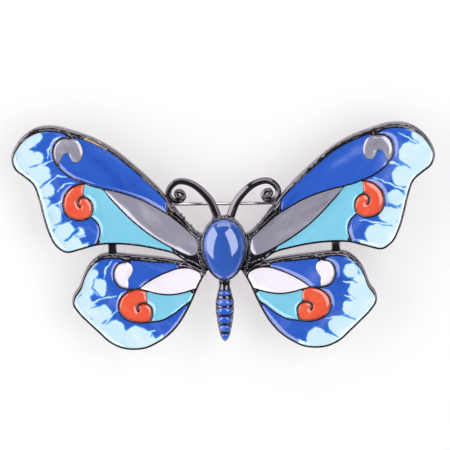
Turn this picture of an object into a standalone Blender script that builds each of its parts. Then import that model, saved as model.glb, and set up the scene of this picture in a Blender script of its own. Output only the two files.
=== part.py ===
"""A butterfly brooch with enamelled wings.

Front view: +X is the wearer's-left wing, +Z is up and the front faces -Y. The origin is the
centre of the flat back of the thorax plate, so everything with y > 0 is pin hardware behind
the casting. Outlines are drawn in millimetres on the +X side and mirrored for the other wing.
"""

import math

import bpy
import bmesh
import numpy as np
from mathutils import Matrix

MM = 0.001

# Overall sizes of the spread wings.
WINGSPAN = 74.0
WING_HEIGHT = 40.0

# The casting: its depth, the floor behind the cells, and the raised metal between them.
CAST_DEPTH = 2.3
FLOOR = 0.8
CELL_WALL = 0.32
RIM = 0.45
TOP_RIM = 0.95
ENAMEL_DROP = 0.15
POUR_GAP = 0.06
JOIN_GAP = 0.06
BRIDGE_WIDTH = 1.5
BRIDGE_DEPTH = 1.5

# The egg-shaped stone and the thorax plate that it sits in.
STONE_WIDTH = 7.1
STONE_HEIGHT = 10.5
STONE_TAPER = 0.12
STONE_RISE = 2.5
SETTING_WALL = 0.38
SETTING_RISE = 0.35
STONE_GAP = 0.06

# The turned abdomen and the enamel bands let into it.
ABDOMEN_LENGTH = 11.0
ABDOMEN_RADIUS = 1.65
BAND_COUNT = 6
BAND_PITCH = 1.6
BAND_HEIGHT = 1.0
BAND_DEPTH = 0.3
BAND_BULGE = 0.08
BAND_GAP = 0.06
FIRST_BAND = 2.1

ANTENNA_RADIUS = 0.45

# The pin behind the wings: stem, hinge and catch. Heights are above the origin, and the
# stand-off is from the casting's back to the stem's middle.
PIN_HEIGHT = 7.2
PIN_STANDOFF = 3.1
PIN_HINGE_X = -17.0
PIN_CATCH_X = 17.0
STEM_RADIUS = 0.35
STEM_POINT_RADIUS = 0.07
STEM_OVERHANG = 2.2
STEM_POINT = 2.5
STEM_WELD = 0.75
EYE_RADIUS = 1.0
EYE_THICKNESS = 0.9
RIVET_RADIUS = 0.42
RIVET_HEAD_RADIUS = 0.75
RIVET_HEAD = 0.3
HINGE_FIT = 0.08
EAR_THICKNESS = 0.5
PAD_THICKNESS = 0.5
PAD_MARGIN = 0.5

LOCK_RADIUS = 1.07
LOCK_BORE = 0.52
LOCK_FIT = 0.08
LOCK_SLOT = 0.94
LOCK_FLANGE = 0.32
LOCK_FLANGE_RADIUS = 1.4
CATCH_RADIUS = 1.65
CATCH_LENGTH = 1.3
CATCH_FOOT = 2.48
TAB_REACH = 2.4
TAB_WIDTH = 0.8

# How finely round things and curves are drawn.
ROUND_SIDES = 24
STONE_SEGMENTS = 32
ABDOMEN_SIDES = 20
CURVE_STEPS = 3
SHARP_ANGLE = math.radians(35)

# Points this near one another are taken as one, and what is cut is cut this far beyond it.
NEAREST_POINTS = 0.06
WELD = 0.001
CUT_BEYOND = 1.0

# Moving an outline sideways: how nearly it must double back for its end to be squared, how far
# a corner may be drawn out, and how much nearer than asked a point may come.
DOUBLED_BACK = 0.3
SHARPEST_CORNER = 0.25
OFFSET_SLACK = 0.96
POUR_SLACK = 0.7

# The top rim grows from the plain rim's width to its own between these two places.
TOP_RIM_START = 6.0
TOP_RIM_FULL = 12.0

# The wing outlines, anticlockwise from the root, on the +X side.
UPPER_OUTLINE = [
    (1.6, -3.2), (3.4, -3.7), (5.2, -2.85), (7.2, -1.95), (8.8, -0.9), (11.8, -0.05),
    (15.4, 0.65), (19.0, 0.95), (22.0, 0.85), (25.1, 0.05), (27.8, -0.45), (29.6, 0.8),
    (30.8, 3.1), (31.7, 6.15), (32.4, 9.1), (33.4, 11.8), (34.9, 13.15), (36.4, 14.4),
    (37.0, 16.4), (36.1, 18.75), (34.3, 20.75), (32.3, 21.8), (29.9, 22.05), (26.0, 21.1),
    (22.5, 19.8), (19.3, 18.0), (15.9, 15.25), (12.6, 12.2), (10.35, 9.8), (8.4, 7.2),
    (6.1, 4.3), (4.2, 2.7), (1.6, 2.2),
]
LOWER_OUTLINE = [
    (1.6, -3.6), (2.9, -3.9), (3.4, -4.6), (4.4, -6.4), (5.4, -8.7), (6.5, -11.0), (7.9, -13.3),
    (9.8, -15.4), (12.0, -16.9), (13.9, -17.75), (15.7, -18.0), (18.1, -17.75), (20.3, -16.7),
    (22.2, -14.95), (24.1, -13.1), (25.8, -11.3), (26.8, -9.55), (26.7, -8.4), (25.5, -6.4),
    (24.75, -4.4), (24.1, -3.1), (23.0, -1.8), (21.4, -0.8), (19.4, -0.6), (17.0, -0.85),
    (12.9, -1.3), (9.8, -1.7), (7.0, -2.3), (4.0, -3.0), (1.6, -3.2),
]

# Walls between the cells of the upper wing, as the middle line of each.
COMMA_WALL = [(26.7, 20.0), (28.2, 19.95), (29.35, 19.0), (29.75, 17.5), (29.55, 16.2), (28.9, 15.1)]
LONG_WALL = [(28.9, 15.1), (27.4, 13.65), (25.7, 12.6), (24.2, 12.0)]
MID_WALL = [(24.2, 12.0), (22.8, 11.45), (21.3, 11.05)]
TIP_WALL = [(21.3, 11.05), (17.9, 10.2), (13.9, 8.7), (11.4, 7.3), (9.6, 6.2)]
GREY_WALL = [(21.3, 11.05), (19.1, 8.5), (15.4, 4.7), (11.7, 1.85), (8.3, -0.15)]
RECESS_WALL = [(9.6, 6.2), (8.0, 4.95), (6.2, 3.3), (4.9, 2.1)]
ROOT_WALL = [(4.9, 2.1), (4.5, 0.8), (4.7, -0.6), (5.4, -1.2), (6.8, -0.9), (8.3, -0.15)]
ORANGE_WALL = [
    (24.2, 12.0), (26.2, 11.45), (27.7, 10.0), (28.1, 7.9), (27.4, 6.25), (25.9, 5.45),
    (24.4, 5.45), (23.3, 6.05),
]
SPIRAL_WALL = [
    (23.3, 6.05), (22.9, 7.1), (23.0, 8.3), (23.6, 9.2), (24.5, 9.55), (25.3, 9.15), (25.5, 8.4),
    (25.1, 7.75),
]
MARGIN_WALL = [(23.3, 6.05), (22.1, 4.9), (21.7, 3.3), (22.15, 1.6)]

# Where two enamels of the upper wing meet with no wall between them.
COMMA_EDGE = [
    (26.7, 20.0), (25.3, 19.55), (24.55, 18.2), (24.5, 16.8), (25.2, 15.75), (26.2, 15.75),
    (26.75, 16.55), (27.1, 17.3), (27.75, 17.1), (28.25, 16.2), (28.9, 15.1),
]
ORANGE_EDGE = [(24.2, 12.0), (24.4, 10.9), (24.5, 9.55)]

# Points on the upper rim where a wall or the web meets it.
UPPER_RIM_STOPS = {"web": (26.7, 21.3), "tip": (9.4, 8.5), "turquoise": (8.6, -1.0), "margin": (22.2, 0.8)}
RECESS = [(9.3, 6.75), (7.95, 5.5), (6.5, 4.1), (5.9, 3.6), (6.6, 4.5), (7.9, 6.0)]

# The lower wing in the same way.
WHITE_WALL = [(17.3, -2.1), (18.6, -2.45), (19.35, -3.6), (19.3, -5.3), (18.4, -6.55), (16.9, -7.0)]
JUNCTION_WALL = [(16.9, -7.0), (15.2, -6.95)]
LEAF_TOP_WALL = [(15.2, -6.95), (13.2, -5.55), (10.7, -4.25), (8.1, -3.35)]
LEAF_ROOT_WALL = [(8.1, -3.35), (6.3, -3.3), (4.9, -3.75), (3.9, -4.5)]
BLUE_END_WALL = [(8.1, -3.35), (7.9, -2.75), (8.2, -2.1)]
LEAF_START_WALL = [(15.2, -6.95), (13.7, -7.3)]
LEAF_WALL = [(13.7, -7.3), (11.6, -7.85), (9.5, -8.05), (7.4, -7.75), (5.5, -7.2)]
ORANGE2_WALL = [
    (15.2, -6.95), (17.0, -7.45), (18.35, -8.7), (18.7, -10.3), (18.15, -11.7), (16.9, -12.6),
    (15.1, -13.05), (13.1, -12.9),
]
SPIRAL2_WALL = [
    (13.1, -12.9), (12.75, -11.6), (12.85, -10.3), (13.65, -9.65), (14.6, -9.6), (15.35, -10.1),
    (15.15, -11.0),
]
CRESCENT_WALL = [(13.1, -12.9), (11.2, -12.65), (9.0, -11.5), (7.2, -10.1), (6.1, -9.3)]
WHITE_EDGE = [
    (17.3, -2.1), (16.4, -2.6), (16.05, -3.4), (16.35, -4.4), (16.9, -5.3), (16.85, -6.2),
    (16.9, -7.0),
]
ORANGE2_EDGE = [(13.7, -7.3), (13.65, -8.4), (13.65, -9.65)]
LOWER_RIM_STOPS = {
    "web": (17.3, -0.8), "blue": (8.2, -2.0), "root": (3.3, -4.4), "leaf": (5.0, -7.7),
    "crescent": (5.6, -9.1),
}

# Half of the bridge between the wings, and the antenna, drawn from root to curled tip.
BRIDGE_X = 19.6
ANTENNA_PATH = [
    (1.0, 5.2), (2.1, 8.0), (3.5, 9.85), (5.1, 11.2), (6.7, 11.85), (8.15, 11.8), (9.3, 10.85),
    (9.6, 9.6), (8.8, 8.55), (7.5, 8.5), (6.95, 9.4), (7.5, 10.15),
]

# The abdomen's radius along its length, both as parts of their own sizes.
ABDOMEN_PROFILE = [
    (0.0, 0.64), (0.09, 0.56), (0.2, 0.76), (0.36, 1.0), (0.52, 0.97), (0.7, 0.8), (0.86, 0.6),
    (0.96, 0.36), (1.0, 0.0),
]

COLOURS = {
    "black_plate": ((0.028, 0.026, 0.03), 0.28, 1.0),
    "deep_blue": ((0.03, 0.1, 0.58), 0.08, 0.0),
    "turquoise": ((0.2, 0.62, 0.84), 0.08, 0.0),
    "pale_blue": ((0.63, 0.85, 0.93), 0.08, 0.0),
    "white": ((0.91, 0.86, 0.93), 0.08, 0.0),
    "grey": ((0.35, 0.34, 0.4), 0.12, 0.0),
    "orange": ((0.9, 0.12, 0.04), 0.08, 0.0),
    "steel": ((0.62, 0.62, 0.64), 0.2, 1.0),
}


# --- Plane outlines -------------------------------------------------------------------------

def smooth(points, closed=False):
    """Points along a smooth curve through the given ones."""
    knots = np.array(points, float)
    count = len(knots)
    previous, following = np.roll(knots, 1, 0), np.roll(knots, -1, 0)
    if not closed:
        previous[0] = 2 * knots[0] - knots[1]
        following[-1] = 2 * knots[-1] - knots[-2]
    behind = np.linalg.norm(knots - previous, axis=1)[:, None]
    ahead = np.linalg.norm(following - knots, axis=1)[:, None]
    arriving, leaving = (knots - previous) / behind, (following - knots) / ahead
    slope = (arriving * ahead + leaving * behind) / (behind + ahead)
    curve = []
    for i in range(count if closed else count - 1):
        j = (i + 1) % count
        length = ahead[i, 0]
        for step in range(CURVE_STEPS):
            t = step / CURVE_STEPS
            curve.append(
                (2 * t**3 - 3 * t**2 + 1) * knots[i] + (t**3 - 2 * t**2 + t) * length * slope[i]
                + (3 * t**2 - 2 * t**3) * knots[j] + (t**3 - t**2) * length * slope[j]
            )
    if not closed:
        curve.append(knots[-1])
    return np.array(curve)


def thinned(points):
    """The points of a closed outline, with none nearly on top of the one before it."""
    kept = [points[0]]
    for point in points[1:]:
        if np.linalg.norm(point - kept[-1]) > NEAREST_POINTS:
            kept.append(point)
    if np.linalg.norm(kept[-1] - kept[0]) <= NEAREST_POINTS:
        kept.pop()
    return np.array(kept)


def area(loop):
    following = np.roll(loop, -1, 0)
    return 0.5 * float(np.sum(loop[:, 0] * following[:, 1] - loop[:, 1] * following[:, 0]))


def distances(points, loop):
    """The distance from each point to each side of a closed outline."""
    start, end = loop[None], np.roll(loop, -1, 0)[None]
    side = end - start
    along = np.sum((points[:, None] - start) * side, 2) / np.maximum(np.sum(side * side, 2), 1e-12)
    nearest = start + np.clip(along, 0, 1)[..., None] * side
    return np.linalg.norm(points[:, None] - nearest, axis=2)


def inside(points, loop):
    """Whether each point is inside a closed outline."""
    start, end = loop[None], np.roll(loop, -1, 0)[None]
    x, z = points[:, None, 0], points[:, None, 1]
    spans = (start[..., 1] > z) != (end[..., 1] > z)
    rise = np.where(end[..., 1] == start[..., 1], 1e-12, end[..., 1] - start[..., 1])
    crossing = start[..., 0] + (z - start[..., 1]) * (end[..., 0] - start[..., 0]) / rise
    return np.sum(spans & (x < crossing), 1) % 2 == 1


def moved_in(loop, depth):
    """A closed anticlockwise outline moved in by depth at each point, or out where negative."""
    depth = np.broadcast_to(np.asarray(depth, float), (len(loop),))
    made, source = [], []
    for i, point in enumerate(loop):
        arriving = point - loop[i - 1]
        leaving = loop[(i + 1) % len(loop)] - point
        arriving /= np.linalg.norm(arriving)
        leaving /= np.linalg.norm(leaving)
        normals = [np.array((-d[1], d[0])) for d in (arriving, leaving)]
        middle = normals[0] + normals[1]
        if np.linalg.norm(middle) < DOUBLED_BACK:
            turns = (normals[0], arriving, normals[1])
        else:
            middle /= np.linalg.norm(middle)
            turns = (middle / max(float(middle @ normals[0]), SHARPEST_CORNER),)
        for turn in turns:
            made.append(point + turn * depth[i])
            source.append(i)
    made = np.array(made)
    side_depth = np.minimum(np.abs(depth), np.abs(np.roll(depth, -1)))
    clear = np.all(distances(made, loop) > OFFSET_SLACK * side_depth[None], 1)
    wanted_inside = depth[source] > 0
    return thinned(made[clear & (inside(made, loop) == wanted_inside)])


def run(points, depth):
    """One stretch of a cell's outline with the depth by which enamel and pocket keep off it."""
    return np.array(points, float), np.broadcast_to(np.asarray(depth, float), (len(points),))


def back(stretch):
    return stretch[0][::-1], stretch[1][::-1]


def until(stretch, point):
    """The part of a stretch from its start to where it is nearest to a point."""
    last = int(np.argmin(np.linalg.norm(stretch[0] - np.array(point), axis=1))) + 1
    return stretch[0][:last], stretch[1][:last]


def after(stretch, point):
    return back(until(back(stretch), point))


def around(outline, start, end):
    """The stretch of rim from near start, anticlockwise, to near end. It is widest facing up."""
    first, last = (
        int(np.argmin(np.linalg.norm(outline - np.array(point), axis=1))) for point in (start, end)
    )
    order = [(first + k) % len(outline) for k in range((last - first) % len(outline) + 1)]
    ahead = np.roll(outline, -1, 0) - np.roll(outline, 1, 0)
    upward = -ahead[:, 0] / np.linalg.norm(ahead, axis=1)
    growth = np.clip((outline[:, 0] - TOP_RIM_START) / (TOP_RIM_FULL - TOP_RIM_START), 0, 1)
    width = RIM + (TOP_RIM - RIM) * np.clip(upward, 0, 1) ** 2 * growth
    return outline[order], width[order]


def outline_of(stretches):
    """A closed anticlockwise outline and its depths, from stretches that follow one another."""
    points = np.concatenate([s[0] for s in stretches])
    depth = np.concatenate([s[1] for s in stretches])
    step = np.linalg.norm(points - np.roll(points, 1, 0), axis=1)
    points, depth = points[step > NEAREST_POINTS], depth[step > NEAREST_POINTS]
    if area(points) < 0:
        points, depth = points[::-1], depth[::-1]
    return points, depth


def pocket_from(stretches):
    return moved_in(*outline_of(stretches))


def enamel_from(stretches, pocket):
    """The outline of the enamel in a cell, a pour gap clear of the pocket that holds it."""
    points, depth = outline_of(stretches)
    loop = moved_in(points, depth + POUR_GAP)
    clear = inside(loop, pocket) & (distances(loop, pocket).min(1) > POUR_SLACK * POUR_GAP)
    return loop[clear]


def upper_cells(outline):
    """Pockets, and the enamels in them, of one upper wing."""
    half = CELL_WALL / 2
    stops = UPPER_RIM_STOPS
    comma, long, mid, tip, grey, recess, root, orange, spiral, margin = (
        run(smooth(wall), half) for wall in (
            COMMA_WALL, LONG_WALL, MID_WALL, TIP_WALL, GREY_WALL, RECESS_WALL, ROOT_WALL,
            ORANGE_WALL, SPIRAL_WALL, MARGIN_WALL,
        )
    )
    comma_edge, orange_edge = run(smooth(COMMA_EDGE), 0.0), run(smooth(ORANGE_EDGE), 0.0)
    meeting = ORANGE_EDGE[-1]
    top = around(outline, stops["web"], stops["tip"])
    bottom = around(outline, stops["turquoise"], stops["margin"])
    outer = around(outline, stops["margin"], stops["web"])
    slit = (spiral, back(spiral))
    blue_pocket = pocket_from([back(top), comma, long, mid, tip])
    grey_pocket = pocket_from([tip, recess, root, back(grey)])
    spiral_pocket = pocket_from([orange, *slit, margin, back(bottom), back(grey), back(mid)])
    margin_pocket = pocket_from([outer, comma, long, orange, margin])
    return {
        "pockets": [blue_pocket, grey_pocket, spiral_pocket, margin_pocket, smooth(RECESS, True)],
        "enamels": {
            "long_blue": ([back(top), comma_edge, long, mid, tip], blue_pocket, "deep_blue"),
            "grey_comma": ([comma, back(comma_edge)], blue_pocket, "grey"),
            "grey_bar": ([tip, recess, root, back(grey)], grey_pocket, "grey"),
            "orange_comma": (
                [orange, spiral, until(back(spiral), meeting), back(orange_edge)],
                spiral_pocket, "orange",
            ),
            "turquoise": (
                [orange_edge, after(back(spiral), meeting), margin, back(bottom), back(grey), back(mid)],
                spiral_pocket, "turquoise",
            ),
            "marbled_margin": ([outer, comma, long, orange, margin], margin_pocket, "pale_blue"),
        },
    }


def lower_cells(outline):
    """Pockets, and the enamels in them, of one lower wing."""
    half = CELL_WALL / 2
    stops = LOWER_RIM_STOPS
    white, junction, leaf_top, leaf_root, blue_end, leaf_start, leaf, orange, spiral, crescent = (
        run(smooth(wall), half) for wall in (
            WHITE_WALL, JUNCTION_WALL, LEAF_TOP_WALL, LEAF_ROOT_WALL, BLUE_END_WALL,
            LEAF_START_WALL, LEAF_WALL, ORANGE2_WALL, SPIRAL2_WALL, CRESCENT_WALL,
        )
    )
    white_edge, orange_edge = run(smooth(WHITE_EDGE), 0.0), run(smooth(ORANGE2_EDGE), 0.0)
    meeting = ORANGE2_EDGE[-1]
    top = around(outline, stops["web"], stops["blue"])
    inner_leaf = around(outline, stops["root"], stops["leaf"])
    inner_turquoise = around(outline, stops["leaf"], stops["crescent"])
    outer = around(outline, stops["crescent"], stops["web"])
    slit = (spiral, back(spiral))
    blue_pocket = pocket_from([white, junction, leaf_top, blue_end, back(top)])
    leaf_pocket = pocket_from([leaf_top, leaf_root, inner_leaf, back(leaf), back(leaf_start)])
    spiral_pocket = pocket_from(
        [orange, *slit, crescent, back(inner_turquoise), back(leaf), back(leaf_start)]
    )
    margin_pocket = pocket_from([outer, white, junction, orange, crescent])
    return {
        "pockets": [blue_pocket, leaf_pocket, spiral_pocket, margin_pocket],
        "enamels": {
            "top_blue": ([white_edge, junction, leaf_top, blue_end, back(top)], blue_pocket, "deep_blue"),
            "white_comma": ([white, back(white_edge)], blue_pocket, "white"),
            "white_leaf": (
                [leaf_top, leaf_root, inner_leaf, back(leaf), back(leaf_start)], leaf_pocket, "white",
            ),
            "orange_comma": (
                [orange, spiral, until(back(spiral), meeting), back(orange_edge), back(leaf_start)],
                spiral_pocket, "orange",
            ),
            "turquoise": (
                [orange_edge, after(back(spiral), meeting), crescent, back(inner_turquoise), back(leaf)],
                spiral_pocket, "turquoise",
            ),
            "marbled_margin": ([outer, white, junction, orange, crescent], margin_pocket, "pale_blue"),
        },
    }


def egg(width, height):
    """The stone's outline, anticlockwise, rounder above and more pointed below."""
    turn = np.linspace(0, 2 * math.pi, 2 * ROUND_SIDES, endpoint=False)
    across = width / 2 * np.cos(turn) * (1 + STONE_TAPER * np.sin(turn))
    return np.stack([across, height / 2 * np.sin(turn)], 1)


# --- Solids ---------------------------------------------------------------------------------

def clear_scene():
    for obj in list(bpy.data.objects):
        bpy.data.objects.remove(obj, do_unlink=True)


def collection(name, hidden=False):
    made = bpy.data.collections.new(name)
    bpy.context.scene.collection.children.link(made)
    made.hide_render = hidden
    return made


def material(name):
    colour, roughness, metallic = COLOURS[name]
    made = bpy.data.materials.get(name) or bpy.data.materials.new(name)
    made.use_nodes = True
    shader = made.node_tree.nodes["Principled BSDF"]
    shader.inputs["Base Color"].default_value = (*colour, 1)
    shader.inputs["Roughness"].default_value = roughness
    shader.inputs["Metallic"].default_value = metallic
    return made


def place(obj, finish=None):
    """Files an object as a part with its finish, or as a cutter where it has none."""
    for old in list(obj.users_collection):
        old.objects.unlink(obj)
    if finish is None:
        CUTTERS.objects.link(obj)
        obj.hide_render = True
        obj.display_type = "WIRE"
    else:
        BROOCH.objects.link(obj)
        obj.data.materials.clear()
        obj.data.materials.append(material(finish))
    return obj


def mesh_of(obj):
    """A mesh copy of a curve object, with its caps welded, in the curve's place."""
    bpy.context.view_layer.update()
    evaluated = obj.evaluated_get(bpy.context.evaluated_depsgraph_get())
    mesh = bpy.data.meshes.new_from_object(evaluated)
    work = bmesh.new()
    work.from_mesh(mesh)
    bmesh.ops.remove_doubles(work, verts=work.verts, dist=2 * WELD * MM)
    bmesh.ops.recalc_face_normals(work, faces=work.faces)
    work.to_mesh(mesh)
    work.free()
    name = obj.name
    matrix = obj.matrix_world.copy()
    bpy.data.objects.remove(obj, do_unlink=True)
    made = bpy.data.objects.new(name, mesh)
    made.matrix_world = matrix
    return made


def plate(name, loops, front, rear, finish=None):
    """A flat piece of the given outlines between two depths, as a mesh."""
    curve = bpy.data.curves.new(name, "CURVE")
    curve.dimensions = "2D"
    curve.fill_mode = "BOTH"
    curve.extrude = (rear - front) / 2 * MM
    for loop in loops:
        spline = curve.splines.new("POLY")
        spline.points.add(len(loop) - 1)
        for point, (x, z) in zip(spline.points, loop):
            point.co = (x * MM, z * MM, 0, 1)
        spline.use_cyclic_u = True
    obj = bpy.data.objects.new(name, curve)
    bpy.context.scene.collection.objects.link(obj)
    obj.rotation_euler = (math.pi / 2, 0, 0)
    obj.location = (0, (front + rear) / 2 * MM, 0)
    return place(mesh_of(obj), finish)


def tube(name, path, radii, finish=None):
    """A round wire along a path of points, with a radius at each."""
    curve = bpy.data.curves.new(name, "CURVE")
    curve.dimensions = "3D"
    curve.bevel_depth = MM
    curve.bevel_resolution = 2
    curve.use_fill_caps = True
    spline = curve.splines.new("POLY")
    spline.points.add(len(path) - 1)
    for point, co, radius in zip(spline.points, path, radii):
        point.co = (*(c * MM for c in co), 1)
        point.radius = radius
    obj = bpy.data.objects.new(name, curve)
    bpy.context.scene.collection.objects.link(obj)
    return place(mesh_of(obj), finish)


def cylinder(name, radius, length, centre, axis, finish=None):
    """A round bar about its middle, along X or Z."""
    turn = (0, math.pi / 2, 0) if axis == "X" else (0, 0, 0)
    bpy.ops.mesh.primitive_cylinder_add(
        vertices=ROUND_SIDES, radius=radius * MM, depth=length * MM,
        location=[c * MM for c in centre], rotation=turn,
    )
    obj = bpy.context.object
    obj.name = name
    return place(obj, finish)


def block(name, low, high, finish=None):
    """A box between two corners."""
    bpy.ops.mesh.primitive_cube_add(size=1, location=[(a + b) / 2 * MM for a, b in zip(low, high)])
    obj = bpy.context.object
    obj.name = name
    obj.data.transform(Matrix.Diagonal([(b - a) * MM for a, b in zip(low, high)] + [1]))
    return place(obj, finish)


def combine(target, other, operation):
    cut = target.modifiers.new(operation.lower(), "BOOLEAN")
    cut.operation = operation
    cut.object = other
    cut.solver = "EXACT"


def mirrored(loop, side):
    """An anticlockwise outline on the +X side, or its mirror image, still anticlockwise."""
    return loop if side > 0 else (loop * (-1, 1))[::-1]


def turned(name, profile, centre_y, finish):
    """A solid of revolution about a vertical line, from (radius, height) points, top first."""
    mesh = bpy.data.meshes.new(name)
    closed = profile[0][0] > 0
    edges = [(i, i + 1) for i in range(len(profile) - 1)]
    if closed:
        edges.append((len(profile) - 1, 0))
    mesh.from_pydata([(r * MM, 0, z * MM) for r, z in profile], edges, [])
    obj = bpy.data.objects.new(name, mesh)
    obj.location = (0, centre_y * MM, 0)
    screw = obj.modifiers.new("turn", "SCREW")
    screw.steps = screw.render_steps = ABDOMEN_SIDES
    screw.use_merge_vertices = True
    screw.merge_threshold = WELD * MM
    screw.use_normal_calculate = False
    return place(obj, finish)


# --- The brooch -----------------------------------------------------------------------------

def scaled_wings():
    """Both outlines brought to the stated wingspan and height, and the scales that did it."""
    upper, lower = smooth(UPPER_OUTLINE, True), smooth(LOWER_OUTLINE, True)
    across = WINGSPAN / 2 / upper[:, 0].max()
    upright = WING_HEIGHT / (upper[:, 1].max() - lower[:, 1].min())
    return upper, lower, np.array((across, upright))


def build_wing(name, outline, cells, scale, side, cutters):
    """One cast wing with its pockets, and the enamels that fill them."""
    frame = plate(f"{name}_frame", [mirrored(outline * scale, side)], -CAST_DEPTH, 0, "black_plate")
    pockets = [mirrored(pocket * scale, side) for pocket in cells["pockets"]]
    cutter = plate(f"{name}_pockets", pockets, -CAST_DEPTH - CUT_BEYOND, -FLOOR)
    combine(frame, cutter, "DIFFERENCE")
    for other in cutters:
        combine(frame, other, "DIFFERENCE")
    for cell, (stretches, pocket, finish) in cells["enamels"].items():
        loop = mirrored(enamel_from(stretches, pocket) * scale, side)
        plate(f"{name}_{cell}", [loop], -CAST_DEPTH + ENAMEL_DROP, -FLOOR - POUR_GAP, finish)
    return frame


def build_wings():
    upper, lower, scale = scaled_wings()
    plain_upper_cells, plain_lower_cells = upper_cells(upper), lower_cells(lower)
    clearance = moved_in(egg(STONE_WIDTH, STONE_HEIGHT), -(STONE_GAP + SETTING_WALL + JOIN_GAP))
    thorax_room = plate("thorax_room", [clearance], -CAST_DEPTH - CUT_BEYOND, CUT_BEYOND)
    for word, side in (("right", 1), ("left", -1)):
        build_wing(f"upper_{word}_wing", upper, plain_upper_cells, scale, side, [thorax_room])
        grown = moved_in(mirrored(upper * scale, side), -JOIN_GAP)
        upper_room = plate(f"upper_{word}_room", [grown], -CAST_DEPTH - CUT_BEYOND, CUT_BEYOND)
        build_wing(f"lower_{word}_wing", lower, plain_lower_cells, scale, side, [thorax_room, upper_room])
        build_bridge(word, side, upper * scale, lower * scale, upper_room)
        build_antenna(word, side, scale, [thorax_room, upper_room])


def build_bridge(word, side, upper, lower, upper_room):
    """The short post that ties the lower wing's top edge to the upper wing's bottom edge."""
    low_x, high_x = BRIDGE_X - BRIDGE_WIDTH / 2, BRIDGE_X + BRIDGE_WIDTH / 2
    upper_edges = upper[abs(upper[:, 0] - BRIDGE_X) < BRIDGE_WIDTH, 1]
    lower_edges = lower[abs(lower[:, 0] - BRIDGE_X) < BRIDGE_WIDTH, 1]
    low_z = lower_edges[lower_edges > lower_edges.mean()].min()
    high_z = upper_edges[upper_edges < upper_edges.mean()].max()
    ends = sorted((side * low_x, side * high_x))
    depth = (CAST_DEPTH - BRIDGE_DEPTH) / 2
    post = block(
        f"bridge_{word}", (ends[0], -CAST_DEPTH + depth, low_z), (ends[1], -depth, high_z), "black_plate"
    )
    lower_grown = moved_in(mirrored(lower, side), -JOIN_GAP)
    lower_room = plate(f"lower_{word}_room", [lower_grown], -CAST_DEPTH - CUT_BEYOND, CUT_BEYOND)
    combine(post, upper_room, "DIFFERENCE")
    combine(post, lower_room, "DIFFERENCE")


def build_antenna(word, side, scale, cutters):
    path = smooth(ANTENNA_PATH) * scale
    middle = -CAST_DEPTH / 2
    obj = tube(
        f"antenna_{word}", [(side * x, middle, z) for x, z in path], [ANTENNA_RADIUS] * len(path),
        "black_plate",
    )
    for other in cutters:
        combine(obj, other, "DIFFERENCE")


def build_thorax():
    """The plate in the middle with a raised rim, and the stone in it."""
    seat = moved_in(egg(STONE_WIDTH, STONE_HEIGHT), -STONE_GAP)
    rim = moved_in(egg(STONE_WIDTH, STONE_HEIGHT), -STONE_GAP - SETTING_WALL)
    thorax = plate("thorax_setting", [rim], -CAST_DEPTH - SETTING_RISE, 0, "black_plate")
    combine(thorax, plate("stone_seat", [seat], -CAST_DEPTH - CUT_BEYOND, -FLOOR), "DIFFERENCE")
    bpy.ops.mesh.primitive_uv_sphere_add(segments=STONE_SEGMENTS, ring_count=STONE_SEGMENTS // 2, radius=1)
    stone = bpy.context.object
    stone.name = "thorax_stone"
    stone.data.transform(Matrix.Rotation(math.pi / 2, 4, "X"))
    for vertex in stone.data.vertices:
        x, y, z = vertex.co
        depth = -CAST_DEPTH + STONE_RISE * y if y < WELD else -FLOOR - STONE_GAP
        across = x * STONE_WIDTH / 2 * (1 + STONE_TAPER * z)
        vertex.co = (across * MM, depth * MM, z * STONE_HEIGHT / 2 * MM)
    stone.data.shade_smooth()
    place(stone, "deep_blue")


def abdomen_radius(depth):
    """The abdomen's radius at a distance below its top."""
    profile = np.array(ABDOMEN_PROFILE)
    return ABDOMEN_RADIUS * float(np.interp(depth / ABDOMEN_LENGTH, profile[:, 0], profile[:, 1]))


def build_abdomen():
    """The turned abdomen with a flat back, grooves, and an enamel band in each groove."""
    top = -STONE_HEIGHT / 2 - STONE_GAP - SETTING_WALL - JOIN_GAP
    middle = -CAST_DEPTH / 2
    starts = [FIRST_BAND - BAND_HEIGHT / 2 + i * BAND_PITCH for i in range(BAND_COUNT)]
    profile = [(0.0, top)]
    grooves = []
    for depth in np.linspace(0, ABDOMEN_LENGTH, 4 * BAND_COUNT):
        if not any(start < depth < start + BAND_HEIGHT for start in starts):
            profile.append((abdomen_radius(depth), top - depth))
    for start in starts:
        end = start + BAND_HEIGHT
        floor = min(abdomen_radius(start), abdomen_radius(end)) - BAND_DEPTH
        grooves.append((start, end, floor))
        profile += [
            (abdomen_radius(start), top - start), (floor, top - start - WELD),
            (floor, top - end + WELD), (abdomen_radius(end), top - end),
        ]
    profile = [profile[0]] + sorted(profile[1:], key=lambda point: -point[1])
    beside, above = ABDOMEN_RADIUS + CUT_BEYOND, top + CUT_BEYOND
    below = top - ABDOMEN_LENGTH - CUT_BEYOND
    back_cut = block("abdomen_back", (-beside, 0, below), (beside, beside, above))
    core = turned("abdomen", profile, middle, "black_plate")
    combine(core, back_cut, "DIFFERENCE")
    band_cut = block("band_back", (-beside, middle + BAND_GAP, below), (beside, beside, above))
    for number, (start, end, floor) in enumerate(grooves, 1):
        inner = floor + BAND_GAP
        high, low = top - start - BAND_GAP, top - end + BAND_GAP
        bulge = abdomen_radius((start + end) / 2) + BAND_BULGE
        outline = [
            (abdomen_radius(start) - BAND_GAP, high), (bulge, (high + low) / 2),
            (abdomen_radius(end) - BAND_GAP, low), (inner, low), (inner, high),
        ]
        band = turned(f"abdomen_band_{number}", outline, middle, "deep_blue")
        combine(band, band_cut, "DIFFERENCE")


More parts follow.
